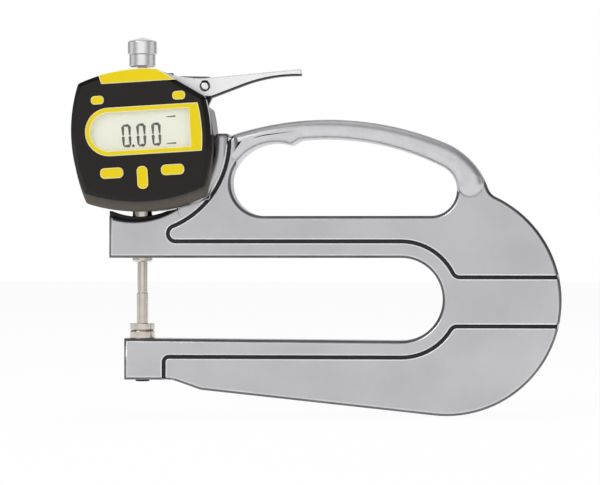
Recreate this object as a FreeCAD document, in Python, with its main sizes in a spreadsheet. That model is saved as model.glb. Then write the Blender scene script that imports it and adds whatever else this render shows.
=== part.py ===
import FreeCAD, Part
import math
import os
from types import SimpleNamespace

import Sketcher
from FreeCAD import Vector

# Digital thickness gauge. X runs from the spindle to the back of the frame, Z is up, -Y is the front.
# The origin is the centre of the anvil's measuring face and Z is the spindle's axis.

SIZES = {
    # frame, seen from the front
    "frame_thick": 14.0,
    "frame_edge": 1.2,
    "throat_depth": 120.0,
    "arm_under": 28.9,
    "arm_nose": 12.6,
    "anvil_seat": 3.1,
    "throat_fall": 0.7,
    "lower_nose": 6.6,
    "lower_arm": 16.4,
    "lower_flat": 12.8,
    "swell_end": 24.0,
    "swell_radius": 6.0,
    "belly_angle": 6.0,
    "rear_width": 46.7,
    "rear_radius": 45.4,
    "rear_height": 12.0,
    "waist_radius": 6.0,
    "shoulder_radius": 29.7,
    "shoulder_angle": 22.45,
    "grip_before": 92.3,
    "grip_drop": 38.5,
    "grip_radius": 122.0,
    "grip_start": 37.0,
    "notch_height": 76.3,
    "horn_width": 6.7,
    "horn_height": 78.2,
    "horn_round": 2.5,
    "horn_shoulder": 1.5,
    "cradle_x": -1.1,
    "cradle_z": 75.3,
    "cradle_radius": 30.0,
    "cradle_step": 2.4,
    "cradle_growth": 0.9,
    # handle opening
    "opening_floor": 45.5,
    "opening_left": 49.1,
    "opening_left_radius": 13.1,
    "scallop_radius": 19.1,
    "scallop_angle": 33.5,
    "bump_x": 60.1,
    "bump_flank": 3.6,
    "bump_radius": 4.0,
    "palm_before": 93.3,
    "palm_drop": 26.6,
    "palm_radius": 102.6,
    "opening_right_radius": 10.2,
    # grooves
    "groove_width": 1.5,
    "groove_deep": 1.0,
    "rim_width": 6.55,
    "band_top": 21.3,
    "band_low": 2.0,
    "band_fillet": 3.0,
    "groove_turn": 3.1,
    "foot_groove": 9.4,
    "foot_corner": 2.0,
    # spindle line
    "spindle_r": 2.0,
    "stem_r": 4.0,
    "stem_drop": 1.6,
    "stem_top": 52.0,
    "stem_chamfer": 0.6,
    "running_gap": 0.05,
    "seat_gap": 0.01,
    "disc_r": 5.0,
    "disc_thick": 2.8,
    "disc_chamfer": 0.4,
    "point_r": 2.3,
    "point_top": 14.9,
    "stud_r": 1.25,
    "stud_length": 5.0,
    "anvil_shank_r": 2.5,
    "anvil_shank": 9.0,
    "anvil_screw_r": 1.5,
    "anvil_screw_head_r": 2.8,
    "anvil_screw_head": 2.3,
    "anvil_screw_shows": 0.8,
    "anvil_screw_bite": 4.0,
    "clamp_screw_r": 2.0,
    "clamp_screw_z": 36.4,
    "clamp_screw_sink": 0.4,
    "socket_r": 1.1,
    "socket_deep": 1.3,
    "knob_base": 104.9,
    "knob_r": 5.3,
    "cap_base": 110.0,
    "cap_r": 5.9,
    "cap_side": 5.1,
    "cap_dome": 1.8,
    "cap_chamfer": 0.8,
    "lever_heel_drop": 1.9,
    "lever_neck_drop": 3.5,
    "lever_shoulder_drop": 0.7,
    "fork_tip_drop": 1.4,
    "lever_under_r": 60.0,
    "lever_over_r": 40.0,
    "touch_gap": 0.05,
    # head: centre of its face and its tilt
    "head_x": 1.3,
    "head_z": 77.4,
    "head_tilt": 3.3,
    "head_front": 16.0,
    "cover_thick": 6.0,
    "cover_plate": 2.2,
    "cover_wall": 2.2,
    "cover_bevel": 1.8,
    "cover_half": 27.8,
    "cover_rise": 26.2,
    "cover_corner_x": 23.8,
    "cover_corner_z": 21.7,
    "cover_round": 2.0,
    "cover_cut_x": 8.0,
    "cover_cut_z": 13.6,
    "case_depth": 18.0,
    "case_half": 28.1,
    "case_corner_x": 23.9,
    "case_low": 25.6,
    "case_chin": 30.1,
    "case_top": 20.5,
    "case_cut_x": 12.0,
    "case_cut_z": 9.0,
    "case_wall": 2.5,
    "case_floor": 6.0,
    "case_round": 2.0,
    "case_rim": 0.8,
    "frame_gap": 0.6,
    "back_thick": 1.6,
    "post_r": 2.9,
    "post_length": 8.0,
    "post_x": 19.6,
    "post_low": 19.5,
    "post_high": 15.2,
    "post_cut_x": 16.4,
    "post_cut_z": 10.4,
    "cover_screw_r": 1.0,
    "cover_screw_length": 5.0,
    "cover_screw_head_r": 1.9,
    "cover_screw_head": 1.0,
    # display
    "display_left": 21.85,
    "display_top": 11.45,
    "display_low": 7.7,
    "display_margin": 3.2,
    "display_proud": 0.35,
    "display_thick": 2.1,
    "window_border": 2.05,
    "window_right": 19.75,
    "window_sink": 0.6,
    "window_thick": 1.0,
    "lcd_thick": 1.5,
    "lcd_border": 1.0,
    "fit_gap": 0.05,
    # keys
    "key_proud": 0.7,
    "key_length": 4.1,
    "key_gap": 0.12,
    "key_flange": 0.7,
    "key_flange_at": 3.0,
    "key_flange_thick": 0.6,
    "small_key_x": 16.2,
    "small_key_z": 14.65,
    "small_key_wide": 5.1,
    "small_key_high": 3.4,
    "small_key_round": 1.5,
    "long_key_x": 12.1,
    "long_key_z": -14.4,
    "long_key_wide": 9.2,
    "long_key_high": 4.2,
    "long_key_round": 1.8,
    "middle_key_z": -16.8,
    "middle_key_wide": 4.3,
    "middle_key_high": 9.0,
    "middle_key_round": 1.9,
    "dome_r": 1.7,
    "dome_thick": 0.5,
    "board_thick": 1.0,
    "board_back": 0.4,
    "trim_low": 20.85,
    "trim_left": 14.4,
    "trim_lean": 0.9,
    "trim_sink": 1.6,
    "trim_proud": 0.2,
    # inside the case
    "carrier_low": 64.0,
    "carrier_high": 10.0,
    "carrier_half": 4.5,
    "carrier_front": 4.3,
    "carrier_back": 3.6,
    "carrier_arm": 2.6,
    "rail_x": 12.0,
    "rail_r": 1.5,
    "rail_low": 50.6,
    "rail_high": 97.4,
    "strip_half": 3.4,
    "strip_low": 60.0,
    "strip_high": 24.0,
    "strip_thick": 0.8,
    "reader_half": 5.5,
    "reader_low": 66.0,
    "reader_high": 14.0,
    "reader_gap": 0.5,
    "spring_r": 3.1,
    "wire_r": 0.3,
    "spring_turns": 9.0,
    "spring_top": 94.6,
    "battery_x": 5.0,
    "battery_z": -8.0,
    "battery_r": 10.0,
    "battery_thick": 3.2,
    "battery_cover_r": 11.6,
    "battery_cover_proud": 0.3,
    "coin_slot": 14.0,
    "coin_slot_wide": 1.6,
    "coin_slot_deep": 0.9,
    # lifting lever
    "pivot_x": 25.4,
    "pivot_z": 97.1,
    "lever_half": 3.0,
    "lever_pin_r": 1.7,
    "lever_pin_shows": 0.8,
    "lever_pin_dome": 0.7,
    "lever_boss_r": 4.5,
    "lever_tip": 63.9,
    "lever_tip_z": 102.5,
    "lever_tip_high": 2.7,
    "fork_end": 3.2,
    "fork_half": 4.6,
    "fork_slot": 2.4,
    "fork_low": 101.6,
    "fork_rise": 0.7,
    "fork_right": 7.5,
    "bracket_gap": 0.3,
    "bracket_thick": 3.0,
    "bracket_left": 9.5,
    "bracket_high": 3.0,
    "bracket_seat": 0.03,
    "bracket_screw_r": 0.8,
    "bracket_screw_head_r": 1.4,
    "bracket_screw_head": 1.2,
    "bracket_screw_length": 5.0,
    "bracket_ear": 4.2,
    "bracket_screw_left": 6.6,
    "bracket_screw_right": 10.6,
}


class Length:
    """A size in millimetres, with the expression that gives it from the sheet."""

    def __init__(self, value, text):
        self.value = value
        self.text = text

    def __add__(self, other):
        other = length(other)
        return Length(self.value + other.value, f"({self.text} + {other.text})")

    def __radd__(self, other):
        return length(other) + self

    def __sub__(self, other):
        other = length(other)
        return Length(self.value - other.value, f"({self.text} - {other.text})")

    def __rsub__(self, other):
        return length(other) - self

    def __mul__(self, other):
        other = length(other)
        return Length(self.value * other.value, f"({self.text} * {other.text})")

    def __rmul__(self, other):
        return length(other) * self

    def __truediv__(self, other):
        other = length(other)
        return Length(self.value / other.value, f"({self.text} / {other.text})")

    def __neg__(self):
        return Length(-self.value, f"(-{self.text})")


def length(number):
    return number if isinstance(number, Length) else Length(float(number), f"{float(number)}")


def root(square):
    return Length(math.sqrt(square.value), f"sqrt({square.text})")


def sine(angle):
    return Length(math.sin(math.radians(angle.value)), f"sin({angle.text})")


def cosine(angle):
    return Length(math.cos(math.radians(angle.value)), f"cos({angle.text})")


def meet(first, second, side):
    """Where two circles (x, y, radius) cross: side is 1 for the crossing on the left of their centres' line."""
    across = second[0] - first[0]
    up = second[1] - first[1]
    gap = root(across * across + up * up)
    along = (first[2] * first[2] - second[2] * second[2] + gap * gap) / (2 * gap)
    off = side * root(first[2] * first[2] - along * along)
    return first[0] + (along * across - off * up) / gap, first[1] + (along * up + off * across) / gap


doc = FreeCAD.newDocument("ThicknessGauge")
sheet = doc.addObject("Spreadsheet::Sheet", "Sizes")
for row, (alias, value) in enumerate(SIZES.items(), start=1):
    sheet.set(f"A{row}", alias)
    sheet.set(f"B{row}", str(value))
    sheet.setAlias(f"B{row}", alias)
doc.recompute()
s = SimpleNamespace(**{alias: Length(value, f"Sizes.{alias}") for alias, value in SIZES.items()})
ZERO = length(0)
UPRIGHT = (ZERO, ZERO, ZERO)
nodes = []


def bind(item, name, size):
    item.setExpression(name, length(size).text)


def new_body(label):
    body = doc.addObject("PartDesign::Body", label)
    body.Label = label
    nodes.append(body)
    return body


def new_sketch(body, name, plane, height, place):
    """A sketch on an origin plane, at a height along its normal, shifted and turned in the plane."""
    sketch = body.newObject("Sketcher::SketchObject", f"{body.Name}_{name}_sketch")
    planes = {feature.Role: feature for feature in body.Origin.OriginFeatures}
    sketch.AttachmentSupport = [(planes[plane], "")]
    sketch.MapMode = "FlatFace"
    across, up, turn = place
    bind(sketch, "AttachmentOffset.Base.x", across)
    bind(sketch, "AttachmentOffset.Base.y", up)
    bind(sketch, "AttachmentOffset.Base.z", height)
    bind(sketch, "AttachmentOffset.Rotation.Angle", turn)
    return sketch


def hold(sketch, kind, size, *where):
    index = sketch.addConstraint(Sketcher.Constraint(kind, *where, length(size).value))
    bind(sketch, f"Constraints[{index}]", size)


def arc_between(start, end, radius, turn):
    """The short arc from start to end: turn is 1 when it bends left and -1 when it bends right."""
    along = end - start
    half = along.Length / 2
    rise = math.sqrt(radius ** 2 - half ** 2)
    left = Vector(-along.y, along.x, 0).normalize()
    centre = (start + end) / 2 + left * rise * turn
    first, last = (start, end) if turn == 1 else (end, start)
    angles = [math.atan2(p.y - centre.y, p.x - centre.x) for p in (first, last)]
    if angles[1] < angles[0]:
        angles[1] += 2 * math.pi
    return Part.ArcOfCircle(Part.Circle(centre, Vector(0, 0, 1), radius), *angles)


def draw(sketch, corners, closed=True):
    """Join the corners (x, y) or (x, y, radius, turn), where the last two bend the edge that follows."""
    points = [Vector(length(c[0]).value, length(c[1]).value, 0) for c in corners]
    count = len(corners) if closed else len(corners) - 1
    first = sketch.GeometryCount
    ends = []
    for i in range(count):
        start, end = points[i], points[(i + 1) % len(points)]
        if len(corners[i]) == 2:
            sketch.addGeometry(Part.LineSegment(start, end))
            ends.append((1, 2))
        else:
            radius, turn = corners[i][2:]
            sketch.addGeometry(arc_between(start, end, length(radius).value, turn))
            ends.append((1, 2) if turn == 1 else (2, 1))
            hold(sketch, "Radius", radius, first + i)
    for i in range(count if closed else count - 1):
        other = (i + 1) % count
        sketch.addConstraint(Sketcher.Constraint("Coincident", first + i, ends[i][1], first + other, ends[other][0]))
    for i in range(len(corners)):
        edge, end = (first + i, ends[i][0]) if i < count else (first + i - 1, ends[i - 1][1])
        hold(sketch, "DistanceX", corners[i][0], -1, 1, edge, end)
        hold(sketch, "DistanceY", corners[i][1], -1, 1, edge, end)


def ring(sketch, x, y, radius):
    index = sketch.addGeometry(
        Part.Circle(Vector(length(x).value, length(y).value, 0), Vector(0, 0, 1), length(radius).value))
    hold(sketch, "Radius", radius, index)
    hold(sketch, "DistanceX", x, -1, 1, index, 3)
    hold(sketch, "DistanceY", y, -1, 1, index, 3)


def fill(sketch, loops):
    """Each loop is a circle (x, y, radius) or a list of corners."""
    for loop in loops:
        if isinstance(loop, tuple):
            ring(sketch, *loop)
        else:
            draw(sketch, loop)


def add(body, kind, name, sketch, size):
    feature = body.newObject(f"PartDesign::{kind}", f"{body.Name}_{name}")
    feature.Profile = sketch
    bind(feature, "Length", size)
    return feature


def slab(body, name, loops, front, back, place=UPRIGHT):
    """A plate of outlines in the XZ plane, between two depths along Y."""
    sketch = new_sketch(body, name, "XZ_Plane", -length(back), place)
    fill(sketch, loops)
    return add(body, "Pad", name, sketch, length(back) - front)


def cut(body, name, loops, front, back, place=UPRIGHT):
    """A pocket of outlines in the XZ plane, between two depths along Y."""
    sketch = new_sketch(body, name, "XZ_Plane", -length(front), place)
    fill(sketch, loops)
    return add(body, "Pocket", name, sketch, length(back) - front)


def post(body, name, loops, low, high):
    """A plate of outlines in the XY plane, between two heights."""
    sketch = new_sketch(body, name, "XY_Plane", length(low), UPRIGHT)
    fill(sketch, loops)
    return add(body, "Pad", name, sketch, length(high) - low)


def bore(body, name, loops, low, high):
    """A pocket of outlines in the XY plane, between two heights."""
    sketch = new_sketch(body, name, "XY_Plane", length(high), UPRIGHT)
    fill(sketch, loops)
    return add(body, "Pocket", name, sketch, length(high) - low)


def turned(label, profile):
    """A piece turned about the spindle's axis, from its half section (radius, height)."""
    body = new_body(label)
    sketch = new_sketch(body, "section", "XZ_Plane", ZERO, UPRIGHT)
    draw(sketch, profile)
    feature = body.newObject("PartDesign::Revolution", f"{label}_turned")
    feature.Profile = sketch
    feature.ReferenceAxis = (sketch, ["V_Axis"])
    feature.Angle = 360
    return body


def soften(body, name, size, wanted, kind="Fillet"):
    """Round, or with kind Chamfer bevel, the edges of the body that wanted(edge) picks."""
    doc.recompute()
    tip = body.Tip
    if tip.Shape.isNull():
        raise RuntimeError(f"{tip.Label} has no shape")
    names = [f"Edge{i}" for i, edge in enumerate(tip.Shape.Edges, start=1) if wanted(edge)]
    if not names:
        raise RuntimeError(f"{body.Label}: no edge to round for {name}")
    feature = body.newObject(f"PartDesign::{kind}", f"{body.Name}_{name}")
    feature.Base = (tip, names)
    bind(feature, "Radius" if kind == "Fillet" else "Size", size)
    body.Tip = feature
    return feature


def corner_at(*spots):
    """Picks the edges along Y that stand at the spots (x, z)."""
    def wanted(edge):
        box = edge.BoundBox
        if box.XLength > 0.01 or box.ZLength > 0.01:
            return False
        return any(math.hypot(box.XMin - length(x).value, box.ZMin - length(z).value) < 0.05 for x, z in spots)
    return wanted


def rim_at(*depths):
    """Picks the edges that lie flat at the depths along Y."""
    def wanted(edge):
        box = edge.BoundBox
        return box.YLength < 0.01 and any(abs(box.YMin - length(y).value) < 0.01 for y in depths)
    return wanted


# Frame

front = -s.frame_thick / 2
back = s.frame_thick / 2
throat_low = -s.anvil_seat - s.throat_fall
throat_radius = (s.arm_under - throat_low) / 2
throat_middle = (s.arm_under + throat_low) / 2
throat_centre = s.throat_depth - throat_radius
rear = s.throat_depth + s.rear_width
rear_centre = rear - s.rear_radius
foot = -s.anvil_seat - s.lower_arm
heel = (rear_centre - s.rear_radius * sine(s.belly_angle), s.rear_height - s.rear_radius * cosine(s.belly_angle))
swell = (s.swell_end, heel[1] + (heel[0] - s.swell_end) * sine(s.belly_angle) / cosine(s.belly_angle))
toe = (s.lower_flat, foot)


def circle_height(centre_x, centre_z, radius, x):
    """Height of a circle's upper half at x."""
    return centre_z + root(radius * radius - (x - centre_x) * (x - centre_x))


# Cradle under the head and the horn beside it
horn_left = s.cradle_x + s.cradle_radius
nose_top = s.cradle_z + s.cradle_z - circle_height(s.cradle_x, s.cradle_z, s.cradle_radius, -s.arm_nose)
cradle_low = s.cradle_z - s.cradle_radius
horn_right = horn_left + s.horn_width
notch = (horn_right, s.notch_height)

# Back of the handle: the grip's circle, the shoulder tangent to it and the waist where it meets the rear
grip_x = rear - s.grip_before
grip_z = -s.grip_drop
grip_left = (s.grip_start, circle_height(grip_x, grip_z, s.grip_radius, s.grip_start))
shoulder_reach = s.grip_radius - s.shoulder_radius
shoulder_x = grip_x + shoulder_reach * sine(s.shoulder_angle)
shoulder_z = grip_z + shoulder_reach * cosine(s.shoulder_angle)
shoulder = (grip_x + s.grip_radius * sine(s.shoulder_angle), grip_z + s.grip_radius * cosine(s.shoulder_angle))
waist = meet((shoulder_x, shoulder_z, s.shoulder_radius), (rear_centre, s.rear_height, s.rear_radius), 1)

# Opening of the handle: each end's circle is tangent to its neighbours
opening_left_z = s.opening_floor + s.opening_left_radius
scallop_reach = s.scallop_radius - s.opening_left_radius
scallop_x = s.opening_left + scallop_reach * cosine(s.scallop_angle)
scallop_z = opening_left_z - scallop_reach * sine(s.scallop_angle)
scallop = (scallop_x - s.scallop_radius * cosine(s.scallop_angle),
           scallop_z + s.scallop_radius * sine(s.scallop_angle))
bump = (s.bump_x, circle_height(scallop_x, scallop_z, s.scallop_radius, s.bump_x))
palm_x = rear - s.palm_before
palm_z = -s.palm_drop
palm_left = (s.bump_x + s.bump_flank, circle_height(palm_x, palm_z, s.palm_radius, s.bump_x + s.bump_flank))
palm_reach = s.palm_radius - s.opening_right_radius
opening_right_z = s.opening_floor + s.opening_right_radius
opening_right = circle_height(palm_z, palm_x, palm_reach, opening_right_z)
palm_right = (palm_x + (opening_right - palm_x) * s.palm_radius / palm_reach,
              palm_z + (opening_right_z - palm_z) * s.palm_radius / palm_reach)


# Head: every depth is counted from its front face, and its outlines are tilted about the face's centre

HEAD = (s.head_x, s.head_z, s.head_tilt)
face = -s.head_front
cover_back = face + s.cover_thick
case_back = cover_back + s.case_depth
anvil_foot = -s.anvil_seat - s.anvil_shank
screw_head_top = foot - s.anvil_screw_shows + s.anvil_screw_head


def on_head(x, z):
    """The place in the part's frame of a point of the tilted face."""
    return (s.head_x + x * cosine(s.head_tilt) - z * sine(s.head_tilt),
            s.head_z + x * sine(s.head_tilt) + z * cosine(s.head_tilt))


def bow(half_chord, rise):
    """Radius of the arc over a chord."""
    return (half_chord * half_chord + rise * rise) / (2 * rise)


def cover_outline(inset):
    """Four bowed sides with the top right corner cut off for the lever."""
    x, z = s.cover_corner_x - inset, s.cover_corner_z - inset
    wide, high = s.cover_half - inset, s.cover_rise - inset
    side, top = bow(z, wide - x), bow(x, high - z)
    cut_x, cut_z = s.cover_cut_x - inset / 2, s.cover_cut_z - inset / 2
    return [
        (-x, -z, top, 1),
        (x, -z, side, 1),
        (circle_height(ZERO, wide - side, side, cut_z), cut_z),
        (cut_x, circle_height(ZERO, high - top, top, cut_x), top, 1),
        (-x, z, side, 1),
    ]


def case_outline(inset, floor):
    """The case behind the cover: bowed sides, a deeper chin, and a low flat top under the lever."""
    x, low, top = s.case_corner_x - inset, s.case_low - floor, s.case_top - inset
    middle = (top - low) / 2
    side = bow((top + low) / 2, s.case_half - s.case_corner_x)
    chin = bow(x, s.case_chin - s.case_low)
    cut_x, cut_z = s.case_cut_x - inset / 2, s.case_cut_z - inset / 2
    return [
        (-x, -low, chin, 1),
        (x, -low, side, 1),
        (circle_height(middle, s.case_half - inset - side, side, cut_z), cut_z),
        (cut_x, top),
        (-x, top, side, 1),
    ]


def make_frame():
    body = new_body("frame")
    outline = [
        (-s.arm_nose, s.arm_under),
        (-s.arm_nose, nose_top, s.cradle_radius, 1),
        (s.cradle_x, cradle_low, s.cradle_radius, 1),
        (horn_left, s.cradle_z),
        (horn_left, s.horn_height),
        (horn_right, s.horn_height),
        notch,
        (*grip_left, s.grip_radius, -1),
        (*shoulder, s.shoulder_radius, -1),
        (*waist, s.rear_radius, -1),
        (rear, s.rear_height, s.rear_radius, -1),
        heel,
        swell,
        toe,
        (-s.lower_nose, foot),
        (-s.lower_nose, -s.anvil_seat),
        (throat_centre, throat_low, throat_radius, 1),
        (s.throat_depth, throat_middle, throat_radius, 1),
        (throat_centre, s.arm_under),
    ]
    opening = [
        (opening_right, s.opening_floor, s.opening_right_radius, 1),
        (opening_right + s.opening_right_radius, opening_right_z, s.opening_right_radius, 1),
        (*palm_right, s.palm_radius, 1),
        palm_left,
        (*bump, s.scallop_radius, 1),
        (*scallop, s.opening_left_radius, 1),
        (s.opening_left - s.opening_left_radius, opening_left_z, s.opening_left_radius, 1),
        (s.opening_left, s.opening_floor),
    ]
    slab(body, "web", [outline, opening], front, back)
    soften(body, "horn", s.horn_round, corner_at((horn_left, s.horn_height)))
    soften(body, "shoulder", s.horn_shoulder, corner_at((horn_right, s.horn_height)))
    soften(body, "waist", s.waist_radius, corner_at(waist))
    soften(body, "swell", s.swell_radius, corner_at(toe, swell))
    soften(body, "bump", s.bump_radius, corner_at(palm_left))
    bore(body, "stem_bore", [(ZERO, ZERO, s.stem_r + s.seat_gap)], throat_middle, s.cradle_z)
    soften(body, "edges", s.frame_edge, rim_at(front, back), "Chamfer")
    upper_groove, lower_groove = groove_paths()
    grooves = [groove_outline(upper_groove), groove_outline(lower_groove)]
    for name, groove in zip(("upper", "lower"), grooves):
        cut(body, f"front_{name}_groove", [groove], front - s.groove_deep, front + s.groove_deep)
        cut(body, f"back_{name}_groove", [groove], back - s.groove_deep, back + s.groove_deep)
    ledge = [(s.cradle_x - s.cradle_growth, s.cradle_z - s.cradle_growth, s.cradle_radius + s.cradle_growth)]
    cut(body, "front_ledge", ledge, front - s.frame_edge, front + s.cradle_step)
    cut(body, "back_ledge", ledge, back - s.cradle_step, back + s.frame_edge)
    cut(body, "head_room", [case_outline(-s.frame_gap, -s.frame_gap)], front * 2, back * 2, HEAD)
    bore(body, "anvil_bore", [(ZERO, ZERO, s.anvil_shank_r + s.seat_gap)], anvil_foot, throat_middle)
    bore(body, "screw_bore", [(ZERO, ZERO, s.anvil_screw_r + s.fit_gap)], foot, anvil_foot + s.fit_gap)
    bore(body, "screw_head_bore", [(ZERO, ZERO, s.anvil_screw_head_r + s.fit_gap)], foot - 1, screw_head_top)
    cut(body, "clamp_bore", [(ZERO, s.clamp_screw_z, s.clamp_screw_r + s.seat_gap)], s.stem_r - 1, back + 1)
    return body


def groove_paths():
    """Both grooves run round the throat at the rim's width, and out to the rear along the tail band."""
    rim_radius = throat_radius + s.rim_width
    reach = rim_radius + s.band_fillet
    upper = s.arm_under + s.rim_width
    lower = throat_low - s.rim_width
    beyond = rear + s.groove_width

    def tail(band, away):
        z = band + away * s.band_fillet
        x = circle_height(throat_middle, throat_centre, reach, z)
        share = rim_radius / reach
        on_rim = (throat_centre + (x - throat_centre) * share, throat_middle + (z - throat_middle) * share)
        return on_rim, (x, band)

    horn_reach = horn_right - s.cradle_x
    turn_z = upper + s.groove_turn
    turn_x = circle_height(s.cradle_z, s.cradle_x, horn_reach + s.groove_turn, turn_z)
    share = horn_reach / (horn_reach + s.groove_turn)
    turn_start = (s.cradle_x + (turn_x - s.cradle_x) * share, s.cradle_z + (turn_z - s.cradle_z) * share)
    upper_rim, upper_band = tail(s.band_top, 1)
    lower_rim, lower_band = tail(s.band_low, -1)
    out = (ZERO, length(1))
    turn_out = ((turn_x - s.cradle_x) / (horn_reach + s.groove_turn),
                (turn_z - s.cradle_z) / (horn_reach + s.groove_turn))
    upper_path = [
        ((horn_right, s.horn_height + s.groove_width), (length(1), ZERO)),
        ((horn_right, s.cradle_z), (length(1), ZERO), horn_reach, -1),
        (turn_start, turn_out, s.groove_turn, 1),
        ((turn_x, upper), out),
        ((throat_centre, upper), out, rim_radius, -1),
        (upper_rim, ((upper_rim[0] - throat_centre) / rim_radius, (upper_rim[1] - throat_middle) / rim_radius),
         s.band_fillet, 1),
        (upper_band, out),
        ((beyond, s.band_top), out),
    ]
    lower_path = [
        ((s.foot_groove, foot - s.groove_width), (length(-1), ZERO)),
        ((s.foot_groove, lower - s.foot_corner), (length(-1), ZERO), s.foot_corner, -1),
        ((s.foot_groove + s.foot_corner, lower), out),
        ((throat_centre, lower), out, rim_radius, 1),
        (lower_rim, ((throat_centre - lower_rim[0]) / rim_radius, (throat_middle - lower_rim[1]) / rim_radius),
         s.band_fillet, -1),
        (lower_band, out),
        ((beyond, s.band_low), out),
    ]
    return upper_path, lower_path


def groove_outline(path):
    """The outline of a groove along a smooth path of (point, left normal) or (point, left normal, radius, turn)."""
    half = s.groove_width / 2
    left, right = [], []
    for (x, z), (across, up), *bend in path:
        near, far = (x + across * half, z + up * half), (x - across * half, z - up * half)
        if bend:
            radius, turn = bend
            left.append((*near, radius - half * turn, turn))
            right.append((far, radius + half * turn, turn))
        else:
            left.append(near)
            right.append((far, None, 0))
    outline = list(left)
    for i in range(len(right) - 1, 0, -1):
        point = right[i][0]
        radius, turn = right[i - 1][1:]
        outline.append((*point, radius, -turn) if turn else point)
    outline.append(right[0][0])
    return outline


def make_anvil():
    hole = s.anvil_screw_r + s.seat_gap
    turned("anvil", [
        (ZERO, ZERO),
        (s.disc_r - s.disc_chamfer, ZERO),
        (s.disc_r, -s.disc_chamfer),
        (s.disc_r, -s.anvil_seat),
        (s.anvil_shank_r, -s.anvil_seat),
        (s.anvil_shank_r, anvil_foot),
        (hole, anvil_foot),
        (hole, anvil_foot + s.anvil_screw_bite),
        (ZERO, anvil_foot + s.anvil_screw_bite),
    ])
    head_low = foot - s.anvil_screw_shows
    turned("anvil_screw", [
        (ZERO, head_low + s.socket_deep),
        (s.socket_r, head_low + s.socket_deep),
        (s.socket_r, head_low),
        (s.anvil_screw_head_r, head_low),
        (s.anvil_screw_head_r, screw_head_top),
        (s.anvil_screw_r, screw_head_top),
        (s.anvil_screw_r, anvil_foot + s.anvil_screw_bite),
        (ZERO, anvil_foot + s.anvil_screw_bite),
    ])


def make_stem():
    inner = s.spindle_r + s.running_gap
    low = s.arm_under - s.stem_drop
    turned("stem", [
        (inner, low),
        (s.stem_r - s.stem_chamfer, low),
        (s.stem_r, low + s.stem_chamfer),
        (s.stem_r, s.stem_top),
        (inner, s.stem_top),
    ])
    body = new_body("stem_clamp_screw")
    at_stem = s.stem_r + s.seat_gap
    slab(body, "shank", [(ZERO, s.clamp_screw_z, s.clamp_screw_r)], at_stem, back - s.clamp_screw_sink)
    cut(body, "socket", [(ZERO, s.clamp_screw_z, s.socket_r)],
        back - s.clamp_screw_sink - s.socket_deep, back)


def make_spindle():
    stud = s.stud_r + s.seat_gap
    turned("spindle", [
        (stud, s.point_top),
        (s.spindle_r, s.point_top),
        (s.spindle_r, s.cap_base),
        (ZERO, s.cap_base),
        (ZERO, s.point_top + s.stud_length),
        (stud, s.point_top + s.stud_length),
    ])
    turned("contact_point", [
        (ZERO, s.touch_gap),
        (s.disc_r - s.disc_chamfer, s.touch_gap),
        (s.disc_r, s.touch_gap + s.disc_chamfer),
        (s.disc_r, s.disc_thick),
        (s.point_r, s.disc_thick),
        (s.point_r, s.point_top),
        (s.stud_r, s.point_top),
        (s.stud_r, s.point_top + s.stud_length),
        (ZERO, s.point_top + s.stud_length),
    ])
    hole = s.spindle_r + s.seat_gap
    turned("lift_knob", [
        (hole, s.knob_base),
        (s.knob_r - s.disc_chamfer, s.knob_base),
        (s.knob_r, s.knob_base + s.disc_chamfer),
        (s.knob_r, s.cap_base),
        (hole, s.cap_base),
    ])
    cap_top = s.cap_base + s.cap_side
    turned("knob_cap", [
        (ZERO, s.cap_base),
        (s.cap_r, s.cap_base),
        (s.cap_r, cap_top),
        (s.cap_r - s.cap_chamfer, cap_top + s.cap_dome / 4),
        (ZERO, cap_top + s.cap_dome),
    ])


# Display outlines

display_side = bow(s.cover_corner_z, s.cover_half - s.cover_corner_x)


def display_outline(inset, right=None):
    """The display's frame: a round left end, and a right end that follows the cover's side or stands straight."""
    high, low = s.display_top - inset, -s.display_low + inset
    radius = (high - low) / 2
    middle = (high + low) / 2
    left = -s.display_left + inset + radius
    if right is not None:
        return [
            (left, low),
            (right, low),
            (right, high),
            (left, high, radius, 1),
            (left - radius, middle, radius, 1),
        ]
    bend = display_side - s.display_margin - inset
    centre = s.cover_half - display_side
    return [
        (left, low),
        (circle_height(ZERO, centre, bend, low), low, bend, 1),
        (circle_height(ZERO, centre, bend, high), high),
        (left, high, radius, 1),
        (left - radius, middle, radius, 1),
    ]


def trim_outline(gap):
    """The insert between the cover's top edge and a straight line above the display."""
    low = s.trim_low + gap
    x, z = s.cover_corner_x, s.cover_corner_z
    top = bow(x, s.cover_rise - z)
    lean_x = -s.trim_left - s.trim_lean + gap
    rise = circle_height(ZERO, s.cover_rise - top, top, s.cover_cut_x)
    side = bow(z, s.cover_half - x)
    side_x = circle_height(ZERO, s.cover_half - side, side, s.cover_cut_z)
    slope = (side_x - s.cover_cut_x) / (rise - s.cover_cut_z)
    return [
        (-s.trim_left + gap, low),
        (s.cover_cut_x + (rise - low) * slope, low),
        (s.cover_cut_x, rise, top, 1),
        (lean_x, circle_height(ZERO, s.cover_rise - top, top, lean_x)),
    ]


def key_outline(x, z, wide, high, corner, grow=0):
    """A rounded rectangle about (x, z)."""
    half_x, half_z = wide / 2 + grow, high / 2 + grow
    r = corner + grow
    return [
        (x - half_x + r, z - half_z),
        (x + half_x - r, z - half_z, r, 1),
        (x + half_x, z - half_z + r),
        (x + half_x, z + half_z - r, r, 1),
        (x + half_x - r, z + half_z),
        (x - half_x + r, z + half_z, r, 1),
        (x - half_x, z + half_z - r),
        (x - half_x, z - half_z + r, r, 1),
    ]


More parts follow.
